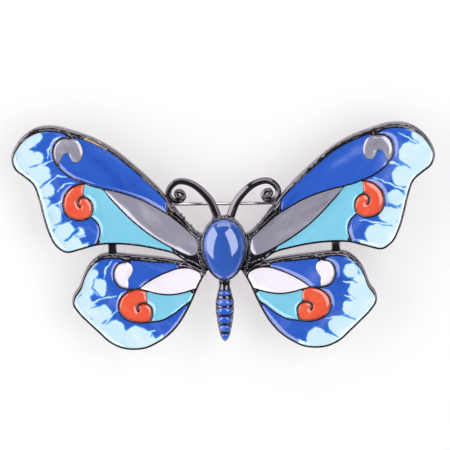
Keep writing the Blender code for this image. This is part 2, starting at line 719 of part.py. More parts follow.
def build_hinge():
    """Two ears on a pad, the rivet through them, and the stem that turns on the rivet."""
    x, y, z = PIN_HINGE_X, PIN_STANDOFF, PIN_HEIGHT
    inner = EYE_THICKNESS / 2 + HINGE_FIT
    outer = inner + EAR_THICKNESS
    half = EYE_RADIUS + PAD_MARGIN
    base = block(
        "pin_hinge_base", (x - half, JOIN_GAP, z - outer - PAD_MARGIN),
        (x + half, JOIN_GAP + PAD_THICKNESS, z + outer + PAD_MARGIN), "steel",
    )
    for number, low in enumerate((z - outer, z + inner)):
        middle = low + EAR_THICKNESS / 2
        ear = block(
            f"ear_{number}", (x - EYE_RADIUS, PAD_THICKNESS / 2, low),
            (x + EYE_RADIUS, y, low + EAR_THICKNESS),
        )
        ear_round = cylinder(f"ear_round_{number}", EYE_RADIUS, EAR_THICKNESS, (x, y, middle), "Z")
        combine(base, ear, "UNION")
        combine(base, ear_round, "UNION")
    bore = cylinder("rivet_bore", RIVET_RADIUS + HINGE_FIT, 2 * outer + CUT_BEYOND, (x, y, z), "Z")
    combine(base, bore, "DIFFERENCE")
    reach = 2 * (outer + HINGE_FIT)
    rivet = cylinder("pin_hinge_rivet", RIVET_RADIUS, reach + RIVET_HEAD, (x, y, z), "Z", "steel")
    for number, sign in enumerate((-1, 1)):
        height = z + sign * (outer + HINGE_FIT + RIVET_HEAD / 2)
        head = cylinder(f"rivet_head_{number}", RIVET_HEAD_RADIUS, RIVET_HEAD, (x, y, height), "Z")
        combine(rivet, head, "UNION")
    stem = cylinder("pin_stem", EYE_RADIUS, EYE_THICKNESS, (0, 0, 0), "Z", "steel")
    stem.location = (x * MM, y * MM, z * MM)
    tip = PIN_CATCH_X + STEM_OVERHANG
    path = [(x + STEM_WELD, y, z), (tip - STEM_POINT, y, z), (tip, y, z)]
    wire = tube("stem_wire", path, [STEM_RADIUS, STEM_RADIUS, STEM_POINT_RADIUS])
    combine(stem, wire, "UNION")
    combine(stem, bore, "DIFFERENCE")


def build_catch():
    """A slotted barrel on a foot, and the slotted lock that turns in it."""
    x, y, z = PIN_CATCH_X, PIN_STANDOFF, PIN_HEIGHT
    half = CATCH_LENGTH / 2
    bore_radius = LOCK_RADIUS + LOCK_FIT
    housing = cylinder("catch_housing", CATCH_RADIUS, CATCH_LENGTH, (x, y, z), "X", "steel")
    foot = block(
        "catch_foot", (x - half, PAD_THICKNESS / 2, z - CATCH_FOOT / 2),
        (x + half, y - bore_radius, z + CATCH_FOOT / 2),
    )
    pad = block(
        "catch_pad", (x - half - PAD_MARGIN, JOIN_GAP, z - CATCH_RADIUS - PAD_MARGIN),
        (x + half + PAD_MARGIN, JOIN_GAP + PAD_THICKNESS, z + CATCH_RADIUS + PAD_MARGIN),
    )
    combine(housing, foot, "UNION")
    combine(housing, pad, "UNION")
    bore = cylinder("barrel_bore", bore_radius, CATCH_LENGTH + CUT_BEYOND, (x, y, z), "X")
    combine(housing, bore, "DIFFERENCE")
    reach = half + LOCK_FIT + LOCK_FLANGE + CUT_BEYOND
    throat = block(
        "barrel_slot", (x - reach, y, z - LOCK_SLOT / 2),
        (x + reach, y + CATCH_RADIUS + CUT_BEYOND, z + LOCK_SLOT / 2),
    )
    combine(housing, throat, "DIFFERENCE")

    flange_x = half + LOCK_FIT + LOCK_FLANGE / 2
    lock = cylinder("catch_lock", LOCK_RADIUS, 2 * (half + LOCK_FIT) + LOCK_FLANGE, (0, 0, 0), "X", "steel")
    lock.location = (x * MM, y * MM, z * MM)
    for number, sign in enumerate((-1, 1)):
        flange = cylinder(
            f"lock_flange_{number}", LOCK_FLANGE_RADIUS, LOCK_FLANGE, (x + sign * flange_x, y, z), "X"
        )
        combine(lock, flange, "UNION")
    tab = block(
        "lock_tab", (x + flange_x - LOCK_FLANGE / 2, y - TAB_WIDTH / 2, z + LOCK_RADIUS),
        (x + flange_x + LOCK_FLANGE / 2, y + TAB_WIDTH / 2, z + TAB_REACH),
    )
    combine(lock, tab, "UNION")
    combine(lock, cylinder("lock_bore", LOCK_BORE, 2 * reach, (x, y, z), "X"), "DIFFERENCE")
    combine(lock, throat, "DIFFERENCE")


def shade_round_pieces():
    for name in ("abdomen", "antenna_left", "antenna_right", "pin_stem", "pin_hinge_rivet"):
        mesh = bpy.data.objects[name].data
        mesh.shade_smooth()
        mesh.set_sharp_from_angle(angle=SHARP_ANGLE)


clear_scene()
BROOCH = collection("butterfly_brooch")
CUTTERS = collection("cutters", hidden=True)
build_wings()
build_thorax()
build_abdomen()
build_hinge()
build_catch()
shade_round_pieces()
bpy.context.view_layer.update()
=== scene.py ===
"""The looks of an enamelled butterfly brooch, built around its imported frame.

Pieces are modelled in millimetres and turned into metres when a mesh is made. The front of the
brooch faces -Y. "Outward" is the side away from the body, so a wing's own points are written
once as (outward, up) and mirrored for the left wing.
"""

import math

import bmesh
import bpy
import numpy as np
from mathutils import Matrix, Vector, noise
from mathutils.geometry import delaunay_2d_cdt
from mathutils.kdtree import KDTree


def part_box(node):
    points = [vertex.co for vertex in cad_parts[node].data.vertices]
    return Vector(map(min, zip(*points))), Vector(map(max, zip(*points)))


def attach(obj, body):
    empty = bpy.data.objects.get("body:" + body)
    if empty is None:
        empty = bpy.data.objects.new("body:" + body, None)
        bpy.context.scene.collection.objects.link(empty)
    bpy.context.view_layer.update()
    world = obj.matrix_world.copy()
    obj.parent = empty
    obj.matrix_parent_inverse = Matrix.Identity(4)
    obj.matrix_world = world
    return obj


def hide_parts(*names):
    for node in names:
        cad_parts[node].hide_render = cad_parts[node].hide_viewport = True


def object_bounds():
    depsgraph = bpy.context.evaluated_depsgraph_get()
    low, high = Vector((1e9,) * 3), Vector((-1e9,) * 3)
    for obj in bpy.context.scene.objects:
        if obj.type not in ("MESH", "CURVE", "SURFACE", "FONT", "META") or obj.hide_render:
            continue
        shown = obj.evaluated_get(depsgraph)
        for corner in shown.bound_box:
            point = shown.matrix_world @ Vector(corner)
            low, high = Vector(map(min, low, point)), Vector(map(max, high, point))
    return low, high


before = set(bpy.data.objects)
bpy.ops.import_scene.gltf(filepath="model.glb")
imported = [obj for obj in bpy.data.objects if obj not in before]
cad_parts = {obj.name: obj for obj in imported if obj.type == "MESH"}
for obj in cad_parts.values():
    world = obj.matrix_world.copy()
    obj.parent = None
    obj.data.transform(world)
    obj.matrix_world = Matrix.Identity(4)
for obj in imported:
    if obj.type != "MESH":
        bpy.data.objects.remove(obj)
cad_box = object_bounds()

MM = 0.001
SIDES = {"right": 1, "left": -1}

# Heights along Y of the casting's levels.
CAST_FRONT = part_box("upper_right_wing_frame")[0].y / MM
ENAMEL_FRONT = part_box("upper_right_wing_turquoise")[0].y / MM
ENAMEL_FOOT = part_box("upper_right_wing_turquoise")[1].y / MM
CELL_FLOOR = -0.8

# Outlines: how near their points are, the angle in degrees from which a corner stays sharp, and
# how much nearer than asked a ring's points may come to another outline.
OUTLINE_STEP = 0.16
OUTLINE_CORNER = 48
RING_SLACK = 0.8
CHUNK = 2000

# The casting's surface: how its edges are rounded, and how uneven it is.
WALL_ROUND = 0.1
RIM_ROUND_ACROSS = 0.36
RIM_ROUND_DOWN = 0.34
CAST_GRID = 0.26
CAST_MARGIN = 0.66
CAST_RINGS = [0.04, 0.09, 0.15, 0.24, 0.34, 0.43, 0.52, 0.61]
CAST_WAVE = 0.05
CAST_WAVE_BROAD = 1.6
CAST_WAVE_FINE = 0.6
WEB_LUMPS = 0.16
WEB_LUMP_SIZE = 0.85
WEB_START = 0.35
WEB_EASE = 0.4
RIM_GROOVE = 0.11
RIM_GROOVE_IN = 0.52
RIM_GROOVE_WIDTH = 0.1
RIM_GROOVE_CLEAR = 0.2
BACK_HOLLOW = 0.12
BACK_ROUND = 0.14
BACK_BORDER = 0.75
BACK_SLOPE = 0.2
BACK_UNEVEN = 0.3
BACK_WAVE = 2.5
BACK_RINGS = [0.03, 0.08, 0.14, 0.5, 0.75, 0.85, 0.95, 1.1]
BACK_GRID = 1.0
BACK_MARGIN = 1.25

# Where the plating wears: how far in from an edge, over what width, and how much of it; and how
# far rubbing spreads round its stroke.
WEAR_IN = 0.12
WEAR_WIDTH = 0.1
WEAR_SHARE = 0.75
RUB_SPREAD = 0.4

# The poured enamel: how far it runs onto the walls and over a join with its neighbour, and how
# its surface sags between them or heaps up.
POUR_GAP = 0.06
POUR_OVERLAP = 0.01
JOIN_HALF = 0.035
MENISCUS_HEIGHT = 0.3
MENISCUS_WIDTH = 0.4
ENAMEL_SAG = 0.17
ENAMEL_SWELL = 0.14
ENAMEL_WAVE = 4.5
SWELL_EASE = 1.5
DOMES = {"grey_comma": 0.34, "white_comma": 0.3, "orange_comma": 0.36}
DOME_WIDTH = 0.45
DOME_SWELL = 0.3
DOME_WAVE = 1.5
SOFT_MENISCUS = {"grey_bar": 0.85, "white_leaf": 0.6}
ENAMEL_GRID = 0.3
ENAMEL_MARGIN = 0.6
ENAMEL_RINGS = [0.1, 0.2, 0.33, 0.5]
MARBLE_GRID = 0.15
MARBLE_MARGIN = 0.8 * MARBLE_GRID

CELLS = {
    "upper": {
        "long_blue": "deep_blue_enamel", "grey_comma": "grey_enamel", "grey_bar": "grey_enamel",
        "orange_comma": "orange_enamel", "turquoise": "turquoise_enamel",
        "marbled_margin": "marbled_enamel",
    },
    "lower": {
        "top_blue": "deep_blue_enamel", "white_comma": "white_enamel", "white_leaf": "white_enamel",
        "orange_comma": "orange_enamel", "turquoise": "turquoise_enamel",
        "marbled_margin": "marbled_enamel",
    },
}

# The marbled margins: lobes of pale enamel dropped along the rim as (outward, up, radius), blue
# slits that a needle drew into them, and pale threads that it drew into the blue, both as
# (outward, up, outward, up, width) from their wide end to their fine end.
MARBLING = {
    "upper_left": {
        "lobes": [
            (32.8, 20.2, 1.3), (34.2, 18.8, 1.4), (34.8, 17.3, 1.5), (32.5, 16.4, 1.2),
            (34.4, 15.5, 1.6), (32.1, 13.4, 2.0), (30.7, 10.7, 1.2), (32.0, 10.7, 1.1),
            (31.2, 8.4, 0.95), (30.1, 6.4, 1.75), (30.5, 4.7, 1.1), (27.8, 3.3, 1.8),
            (25.2, 3.3, 0.8), (29.0, 1.7, 1.4), (26.4, 1.0, 1.5),
        ],
        "slits": [
            (30.2, 15.7, 33.8, 14.9, 0.38), (29.3, 13.3, 32.1, 11.3, 0.55),
            (29.4, 9.4, 30.7, 8.0, 0.65), (27.4, 5.3, 29.6, 4.6, 0.45), (25.7, 3.6, 28.0, 1.5, 0.6),
            (32.9, 18.1, 33.9, 18.0, 0.9),
        ],
        "threads": [
            (32.3, 15.1, 29.6, 16.1, 0.24), (31.3, 11.4, 29.0, 13.2, 0.24),
            (29.0, 13.2, 27.4, 13.2, 0.2), (30.7, 7.6, 27.4, 9.3, 0.26), (28.6, 4.4, 26.6, 5.3, 0.2),
            (28.0, 1.4, 24.3, 2.6, 0.26), (30.5, 18.0, 30.6, 16.3, 0.16),
            (30.5, 18.0, 29.5, 19.7, 0.2), (29.5, 19.7, 27.9, 20.4, 0.14),
            (27.9, 11.6, 29.0, 10.5, 0.2), (27.9, 11.6, 25.9, 12.1, 0.16),
            (28.8, 8.2, 27.9, 9.8, 0.14), (28.8, 8.2, 28.5, 6.9, 0.12),
        ],
    },
    "upper_right": {
        "lobes": [
            (33.8, 19.9, 0.95), (35.3, 18.9, 1.2), (36.1, 17.3, 1.1), (36.1, 15.9, 0.95),
            (32.9, 16.4, 2.3), (34.5, 14.9, 1.4), (31.3, 12.6, 1.9), (32.9, 12.7, 1.3),
            (30.0, 8.8, 1.4), (31.3, 8.5, 0.95), (28.5, 5.9, 1.45), (30.3, 5.9, 1.2),
            (26.7, 2.2, 2.0), (28.8, 2.5, 1.4), (27.5, 1.2, 1.1), (29.5, 3.9, 0.95),
        ],
        "slits": [
            (31.3, 19.9, 33.7, 18.3, 0.55), (30.8, 15.3, 32.7, 13.9, 0.35),
            (29.5, 11.4, 31.6, 9.3, 0.35), (28.4, 7.6, 30.3, 6.9, 0.6), (27.2, 4.6, 29.5, 3.6, 0.5),
        ],
        "threads": [
            (28.8, 15.2, 31.1, 14.3, 0.4), (31.8, 10.1, 26.2, 12.3, 0.26),
            (29.5, 3.9, 23.7, 4.9, 0.22), (33.8, 18.5, 30.7, 20.1, 0.2),
        ],
    },
    "lower_left": {
        "lobes": [
            (22.9, -4.0, 0.75), (23.5, -5.4, 1.05), (24.1, -7.1, 1.2), (21.8, -6.1, 1.1),
            (21.8, -7.3, 1.0), (24.8, -9.3, 1.4), (23.8, -10.8, 1.45), (21.4, -11.4, 1.6),
            (22.3, -13.0, 1.2), (19.2, -14.1, 1.5), (20.5, -14.7, 1.4), (18.2, -15.9, 1.5),
            (15.7, -15.5, 1.85), (13.9, -16.1, 1.5), (16.3, -16.9, 1.05), (12.6, -16.6, 0.75),
        ],
        "slits": [
            (22.8, -5.2, 23.2, -6.9, 0.22), (23.2, -6.9, 21.8, -8.3, 0.26),
            (20.5, -9.4, 23.5, -10.3, 0.4), (19.7, -10.8, 19.9, -11.9, 0.35),
            (19.9, -12.2, 21.7, -13.1, 0.35), (17.2, -13.3, 17.6, -14.3, 0.45),
            (12.3, -14.5, 13.0, -15.6, 0.3),
        ],
        "threads": [
            (23.7, -9.6, 21.2, -8.6, 0.26), (21.2, -8.6, 19.0, -8.2, 0.2),
            (20.9, -13.0, 19.0, -10.7, 0.22), (13.6, -14.9, 12.4, -14.4, 0.2),
            (20.7, -3.0, 21.2, -4.9, 0.16), (20.7, -3.0, 19.7, -1.8, 0.14),
            (18.6, -8.6, 18.0, -7.6, 0.14),
        ],
    },
    "lower_right": {
        "lobes": [
            (22.2, -4.1, 1.3), (24.7, -5.7, 0.85), (23.9, -6.3, 1.5), (23.1, -7.7, 1.4),
            (25.1, -7.9, 1.7), (26.1, -9.0, 1.1), (22.2, -10.7, 1.5), (24.4, -10.3, 1.7),
            (25.6, -10.4, 1.1), (19.7, -13.9, 1.5), (21.7, -13.6, 1.65), (23.4, -12.5, 1.2),
            (16.1, -15.9, 1.65), (18.1, -16.6, 1.3), (20.0, -15.8, 1.25), (15.0, -16.8, 0.8),
        ],
        "slits": [
            (21.4, -5.5, 23.3, -6.3, 0.3), (21.2, -9.5, 22.5, -9.5, 0.25),
            (20.3, -12.0, 22.8, -12.8, 0.4), (17.8, -14.5, 19.8, -16.0, 0.45),
            (22.6, -2.0, 24.4, -4.7, 0.5),
        ],
        "threads": [
            (22.5, -6.4, 20.8, -6.1, 0.44), (22.5, -9.2, 20.9, -8.5, 0.32),
            (20.6, -12.4, 17.8, -12.5, 0.26), (22.9, -2.0, 20.6, -0.9, 0.34),
            (24.6, -4.7, 22.9, -2.0, 0.3),
        ],
    },
}
LOBE_BLEND = 0.22
STROKE_TAPER = 0.8
THREAD_STRENGTH = 2.0
THREAD_SPREAD = 0.07
MARBLE_WARP = 0.22
MARBLE_WARP_SIZE = 0.9
RIM_STRIP = 1.0
RIM_STRIP_REACH = 1.2

# Where handling has rubbed the plating off a rim: a stroke from (x, z) to (x, z), and its width.
RUBBED = {"upper_left": (-23.6, 19.45, -18.0, 15.85, 0.5)}

# The middle line of an antenna as (outward, up), and the tight spiral that its curl ends in.
ANTENNA_PATH = [
    (1.0, 5.2), (2.1, 8.0), (3.5, 9.85), (5.1, 11.2), (6.7, 11.85), (8.15, 11.8), (9.3, 10.85),
    (9.6, 9.6), (8.8, 8.55), (7.5, 8.5), (6.95, 9.4), (7.5, 10.15), (8.25, 10.0), (8.2, 9.35),
    (7.75, 9.3),
]
ANTENNA_RADIUS = 0.45
ANTENNA_ROOT_SCALE = 1.65
ANTENNA_TIP_SCALE = 0.85
ANTENNA_RIDGES = 5
RIDGE_HEIGHT = 0.08
KNOB_COUNT = 12
KNOB_RADIUS = 0.36
KNOB_START = 0.79
KNOB_SIZES = (0.75, 1.25)
KNOB_SCATTER = ((-0.12, -0.5, -0.12), (0.12, 0.05, 0.12))

# The collar of grains, measured from the edge of the stone's seat.
COLLAR_IN = 0.14
COLLAR_DEPTH = 0.16

# Rows of lumps where the parts of the casting run into one another: each one's name, its path as
# (outward, up), its place along Y, and the radius and the spacing of its lumps.
ROOT_LUMPS = [
    ("root_web", [(3.55, -4.3), (4.25, -2.0), (4.4, 0.4), (4.2, 2.4)], -2.1, 0.26, 0.3),
    ("root_shoulder", [(4.1, 2.5), (4.9, 3.0), (5.9, 4.0), (7.4, 5.9), (8.8, 7.7)], -2.0, 0.24, 0.34),
    ("root_corner", [(3.9, 2.5), (4.6, 2.75), (5.1, 3.2)], -2.25, 0.3, 0.36),
    ("antenna_foot", [(0.1, 5.75), (0.9, 5.6), (1.8, 5.2)], -2.1, 0.34, 0.36),
]

# The abdomen's radius along its length, both as shares of the sizes below, and its bands as
# (depth below its top, half their height).
ABDOMEN_PROFILE = [
    (0.0, 0.64), (0.09, 0.56), (0.2, 0.76), (0.36, 1.0), (0.52, 0.97), (0.7, 0.8), (0.86, 0.6),
    (0.96, 0.36), (1.0, 0.0),
]
ABDOMEN_RADIUS = 1.65
ABDOMEN_LENGTH = 11.0
ABDOMEN_SIDES = 64
ABDOMEN_ROWS = 170
ABDOMEN_UNEVEN = 0.05
LEAST_RADIUS = 0.03
GROOVE_LIP = 0.04
GROOVE_EASE = 0.1
GROOVE_END = 0.2
BAND_DEPTH = 0.3
BAND_BULGE = 0.1
BAND_SPREAD = math.radians(72)
BAND_BLUNT = 0.16
BAND_SUNK = 0.03
BAND_THICKNESS = 0.08
BAND_LEAST_RADIUS = 0.02
BAND_ROWS = 13
BAND_COLUMNS = 41
FIRST_BAND = 2.1
BAND_PITCH = 1.6
BAND_HALVES = (0.5, 0.65, 0.65, 0.64, 0.62, 0.6)
BANDS = [(FIRST_BAND + BAND_PITCH * number, half) for number, half in enumerate(BAND_HALVES)]

# The stem is drawn at this share of its frame's thickness, from this far past its frame's end.
STEM_SLIM = 0.9
STEM_FROM = 2.2

# The beads of solder: where they lie along Y, and the foot that each one runs round.
SOLDER_DEPTH = 0.12
SOLDERED = {"hinge_solder": "pin_hinge_base", "catch_solder": "catch_housing"}

# The flat faces and the eased edges of pieces copied from the frame, with angles in degrees.
FLAT_WITHIN = 1.5
EASED_FROM = 32
WELD_METRES = 2e-6

STONE_OVERLAP = 0.1
STONE_TAPER = 0.12
STONE_SAMPLES = 400
STONE_TIP = 0.01
STONE_SIDES = 96
STONE_RINGS = 40


# ---------------------------------------------------------------- outlines

def welded(node):
    """A CAD node's corners in millimetres, and its triangles as rows of corner numbers."""
    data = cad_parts[node].data
    corners = np.empty(len(data.vertices) * 3)
    data.vertices.foreach_get("co", corners)
    points, which = np.unique((corners.reshape(-1, 3) / MM).round(4), axis=0, return_inverse=True)
    data.calc_loop_triangles()
    triangles = np.empty(len(data.loop_triangles) * 3, int)
    data.loop_triangles.foreach_get("vertices", triangles)
    return points, which.ravel()[triangles].reshape(-1, 3)


def front_loops(node):
    """The outlines of a CAD node's front plane, largest first, with its metal on their left."""
    points, triangles = welded(node)
    front = points[:, 1].min()
    flat = triangles[np.abs(points[triangles][:, :, 1] - front).max(axis=1) < 0.01]
    edges = {(a, b) for row in flat for a, b in zip(row, np.roll(row, -1))}
    following = {a: b for a, b in edges if (b, a) not in edges}
    loops = []
    while following:
        start, here = following.popitem()
        loop = [start]
        while here != start:
            loop.append(here)
            here = following.pop(here)
        loops.append(points[loop][:, [0, 2]])
    return sorted(loops, key=lambda loop: -abs(signed_area(loop)))


def signed_area(loop):
    after = np.roll(loop, -1, axis=0)
    return 0.5 * float(np.sum(loop[:, 0] * after[:, 1] - loop[:, 1] * after[:, 0]))


def unit(vectors):
    return vectors / np.maximum(np.linalg.norm(vectors, axis=-1, keepdims=True), 1e-9)


def refined(loop):
    """The loop with a point about every OUTLINE_STEP, curved between its corners."""
    ahead = np.roll(loop, -1, axis=0) - loop
    behind = np.roll(ahead, 1, axis=0)
    ahead_length = np.linalg.norm(ahead, axis=1, keepdims=True)
    behind_length = np.roll(ahead_length, 1, axis=0)
    ahead_way, behind_way = unit(ahead), unit(behind)
    smooth_way = unit(ahead_way * behind_length + behind_way * ahead_length)
    straight = math.cos(math.radians(OUTLINE_CORNER))
    sharp = (ahead_way * behind_way).sum(axis=1, keepdims=True) < straight
    leaving = np.where(sharp, ahead_way, smooth_way)
    arriving = np.where(sharp, behind_way, smooth_way)
    points = []
    for i, length in enumerate(ahead_length[:, 0]):
        after = (i + 1) % len(loop)
        count = max(1, round(length / OUTLINE_STEP))
        for t in np.arange(count) / count:
            points.append(
                (1 + 2 * t) * (1 - t) ** 2 * loop[i] + t * (1 - t) ** 2 * length * leaving[i]
                + t * t * (3 - 2 * t) * loop[after] - t * t * (1 - t) * length * arriving[after]
            )
    return np.array(points)


def left_of(loop):
    """A unit vector at each point of a loop, towards the metal on its left."""
    along = unit(unit(np.roll(loop, -1, axis=0) - loop) + unit(loop - np.roll(loop, 1, axis=0)))
    return np.stack([-along[:, 1], along[:, 0]], axis=1)


def to_segment(points, starts, ends):
    """The distance from each point to its own straight segment."""
    along = ends - starts
    share = ((points - starts) * along).sum(axis=1) / np.maximum((along ** 2).sum(axis=1), 1e-12)
    return np.linalg.norm(points - starts - along * np.clip(share, 0, 1)[:, None], axis=1)


def clearance(points, loops):
    """How far each point is from the nearest of the loops."""
    here = np.concatenate(loops)
    before = np.concatenate([np.roll(loop, 1, axis=0) for loop in loops])
    after = np.concatenate([np.roll(loop, -1, axis=0) for loop in loops])
    tree = KDTree(len(here))
    for i, (x, z) in enumerate(here):
        tree.insert((x, z, 0), i)
    tree.balance()
    near = np.array([tree.find((x, z, 0))[1] for x, z in points])
    return np.minimum(
        to_segment(points, before[near], here[near]), to_segment(points, here[near], after[near])
    )


def inside(points, loops):
    """Whether each point lies within the first loop and outside the others."""
    starts = np.concatenate(loops)
    ends = np.concatenate([np.roll(loop, -1, axis=0) for loop in loops])
    rise = np.where(np.abs(ends[:, 1] - starts[:, 1]) < 1e-12, 1e-12, ends[:, 1] - starts[:, 1])
    found = []
    for part in np.array_split(points, len(points) // CHUNK + 1):
        x, z = part[:, :1], part[:, 1:]
        spans = (starts[:, 1] > z) != (ends[:, 1] > z)
        crossing = starts[:, 0] + (z - starts[:, 1]) * (ends[:, 0] - starts[:, 0]) / rise
        found.append((spans & (crossing > x)).sum(axis=1) % 2 == 1)
    return np.concatenate(found)


def honeycomb(loops, spacing, margin):
    """Evenly packed points inside the loops, at least the margin away from them."""
    low, high = loops[0].min(axis=0), loops[0].max(axis=0)
    rows = np.arange(low[1], high[1], spacing * math.sqrt(3) / 2)
    points = [
        (x, z) for number, z in enumerate(rows)
        for x in np.arange(low[0] + spacing / 2 * (number % 2), high[0], spacing)
    ]
    points = np.array(points)
    points = points[inside(points, loops)]
    return points[clearance(points, loops) > margin]


def rings(loops, depths):
    """Points along the inner side of the loops, at the given depths."""
    points = np.concatenate([loop + left_of(loop) * depth for depth in depths for loop in loops])
    depth_of = np.repeat(depths, sum(len(loop) for loop in loops))
    keep = inside(points, loops)
    points, depth_of = points[keep], depth_of[keep]
    return points[clearance(points, loops) > RING_SLACK * depth_of]


def triangulated(loops, seeds):
    """Triangles over the loops' inside, with the loops' points first."""
    points = np.concatenate([*loops, seeds])
    edges = []
    first = 0
    for loop in loops:
        edges += [(first + i, first + (i + 1) % len(loop)) for i in range(len(loop))]
        first += len(loop)
    corners = [Vector(point) for point in points]
    flat, _, faces, origins, _, _ = delaunay_2d_cdt(corners, edges, [], 0, 1e-6, True)
    flat = np.array([tuple(p) for p in flat])
    place = {old: new for new, olds in enumerate(origins) for old in olds}
    faces = np.array(faces)
    faces = faces[inside(flat[faces].mean(axis=1), loops)]
    borders = []
    first = 0
    for loop in loops:
        borders.append([place[first + i] for i in range(len(loop))])
        first += len(loop)
    return flat, faces, borders


# ---------------------------------------------------------------- meshes

def mesh_piece(name, points, faces, material, sharp=45, attributes=None):
    """A mesh object from points in millimetres, with any number of values for each point."""
    data = bpy.data.meshes.new(name)
    data.from_pydata([tuple(p) for p in np.asarray(points) * MM], [], [tuple(f) for f in faces])
    for title, values in (attributes or {}).items():
        attribute = data.attributes.new(title, "FLOAT", "POINT")
        attribute.data.foreach_set("value", np.asarray(values, np.float32))
    data.validate()
    data.shade_smooth()
    data.set_sharp_from_angle(angle=math.radians(sharp))
    obj = bpy.data.objects.new(name, data)
    bpy.context.scene.collection.objects.link(obj)
    data.materials.append(material)
    return obj


def finish_piece(obj, slot, *nodes, body="brooch"):
    """Ties a piece to its body and to the CAD nodes that it stands for; its slot is not used."""
    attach(obj, body)
    if nodes:
        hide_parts(*nodes)


def wave(points, size, seed):
    """A smooth uneven value from -1 to 1 at each flat point, varying over the given size."""
    return np.array([noise.noise((x / size, z / size, seed * 7.3)) for x, z in points])


NO_POINTS = np.empty((0, 2))


class Body:
    """A closed mesh put together from flat patches and the walls between their borders."""

    def __init__(self):
        self.points = []
        self.faces = []

    def add_points(self, flat, heights):
        first = len(self.points)
        self.points += [(x, y, z) for (x, z), y in zip(flat, np.broadcast_to(heights, len(flat)))]
        return first

    def add_patch(self, loops, seeds, height, facing=1):
        """A triangulated patch, facing 1 for the front or -1 for the back; gives its borders."""
        flat, faces, borders = triangulated(loops, seeds)
        first = self.add_points(flat, height(flat))
        self.faces += [tuple(first + np.array(face)[::facing]) for face in faces]
        return [[first + i for i in border] for border in borders]

    def add_wall(self, front, back):
        """Quads from a front border to a back border of as many points."""
        after_front, after_back = np.roll(front, -1), np.roll(back, -1)
        self.faces += list(zip(after_front, front, back, after_back))


def rounded(depth, across, down):
    """How far an edge of elliptical section falls below its crest, at a depth in from the edge."""
    t = 1 - np.clip(depth / across, 0, 1)
    return down * (1 - np.sqrt(np.maximum(1 - t * t, 0)))


# ---------------------------------------------------------------- materials

def add(tree, kind, settings=None, **inputs):
    """A new node of a tree. An input given as a socket is linked; anything else is its value."""
    made = tree.nodes.new(kind)
    for name, value in (settings or {}).items():
        setattr(made, name, value)
    for name, value in inputs.items():
        connect(tree, value, made.inputs[name.replace("_", " ")])
    return made


def connect(tree, value, socket):
    if isinstance(value, bpy.types.NodeSocket):
        tree.links.new(value, socket)
    else:
        socket.default_value = value


def maths(tree, operation, *values):
    made = tree.nodes.new("ShaderNodeMath")
    made.operation = operation
    for value, socket in zip(values, made.inputs):
        connect(tree, value, socket)
    return made.outputs[0]


def weighted(tree, first, second, weights):
    """The sum of two values, each times its own weight."""
    first_part = maths(tree, "MULTIPLY", first, weights[0])
    second_part = maths(tree, "MULTIPLY", second, weights[1])
    return maths(tree, "ADD", first_part, second_part)


def blended(tree, share, first, second):
    """A colour between two colours."""
    made = tree.nodes.new("ShaderNodeMix")
    made.data_type = "RGBA"
    for value, number in ((share, 0), (first, 6), (second, 7)):
        connect(tree, value, made.inputs[number])
    return made.outputs[2]


def stepped(tree, value, low, high):
    """0 below low, 1 above high, and a smooth change between them."""
    made = add(tree, "ShaderNodeMapRange", {"interpolation_type": "SMOOTHSTEP"}, Value=value)
    made.inputs["From Min"].default_value = low
    made.inputs["From Max"].default_value = high
    return made.outputs["Result"]


def colour(red, green, blue):
    """A linear colour from 0-255 screen values."""
    return tuple(((v / 255 + 0.055) / 1.055) ** 2.4 for v in (red, green, blue)) + (1.0,)


def new_group(name, inputs, outputs):
    tree = bpy.data.node_groups.new(name, "ShaderNodeTree")
    for title, kind, value in inputs:
        socket = tree.interface.new_socket(title, in_out="INPUT", socket_type=kind)
        if value is not None:
            socket.default_value = value
    for title, kind in outputs:
        tree.interface.new_socket(title, in_out="OUTPUT", socket_type=kind)
    return tree, tree.nodes.new("NodeGroupInput").outputs, tree.nodes.new("NodeGroupOutput").inputs


def cast_grain_group():
    """Fine pits and soft unevenness of plated castings."""
    tree, given, out = new_group(
        "cast grain",
        [("Vector", "NodeSocketVector", None), ("Size", "NodeSocketFloat", 1.0),
         ("Roughness", "NodeSocketFloat", 0.25)],
        [("Height", "NodeSocketFloat"), ("Roughness", "NodeSocketFloat")],
    )
    place = add(tree, "ShaderNodeVectorMath", {"operation": "SCALE"}, Vector=given["Vector"])
    connect(tree, maths(tree, "DIVIDE", 1000.0, given["Size"]), place.inputs["Scale"])
    spot = place.outputs[0]
    fine = add(tree, "ShaderNodeTexNoise", Vector=spot, Scale=2.6, Detail=2.0, Roughness=0.4)
    broad = add(tree, "ShaderNodeTexNoise", Vector=spot, Scale=0.8, Detail=1.0)
    pits = add(tree, "ShaderNodeTexVoronoi", Vector=spot, Scale=0.9)
    dent = stepped(tree, pits.outputs["Distance"], 0.04, 0.2)
    height = maths(tree, "MULTIPLY_ADD", broad.outputs["Fac"], 4.0, fine.outputs["Fac"])
    tree.links.new(maths(tree, "MULTIPLY_ADD", dent, 0.3, height), out["Height"])
    change = maths(tree, "MULTIPLY_ADD", fine.outputs["Fac"], 0.9, 0.55)
    tree.links.new(maths(tree, "MULTIPLY", change, given["Roughness"]), out["Roughness"])
    return tree


def edge_wear_group():
    """Where the plating has worn through along raised edges."""
    tree, given, out = new_group(
        "edge wear",
        [("Vector", "NodeSocketVector", None), ("Edge", "NodeSocketFloat", 0.0),
         ("Amount", "NodeSocketFloat", 0.5)],
        [("Mask", "NodeSocketFloat")],
    )
    patches = add(
        tree, "ShaderNodeTexNoise", Vector=given["Vector"], Scale=1500.0, Detail=3.0, Roughness=0.55
    )
    worn = maths(tree, "MULTIPLY", given["Edge"], given["Amount"])
    level = maths(tree, "ADD", patches.outputs["Fac"], worn)
    tree.links.new(stepped(tree, level, 0.84, 0.88), out["Mask"])
    return tree


# The streaks' own directions, as weights of outward and up: they run along the wings, and in the deep blue
# their lighter streaks paint long soft bands of sheen.
STREAK_ALONG = (0.27, 0.2)
STREAK_ACROSS = (-0.6, 0.8)


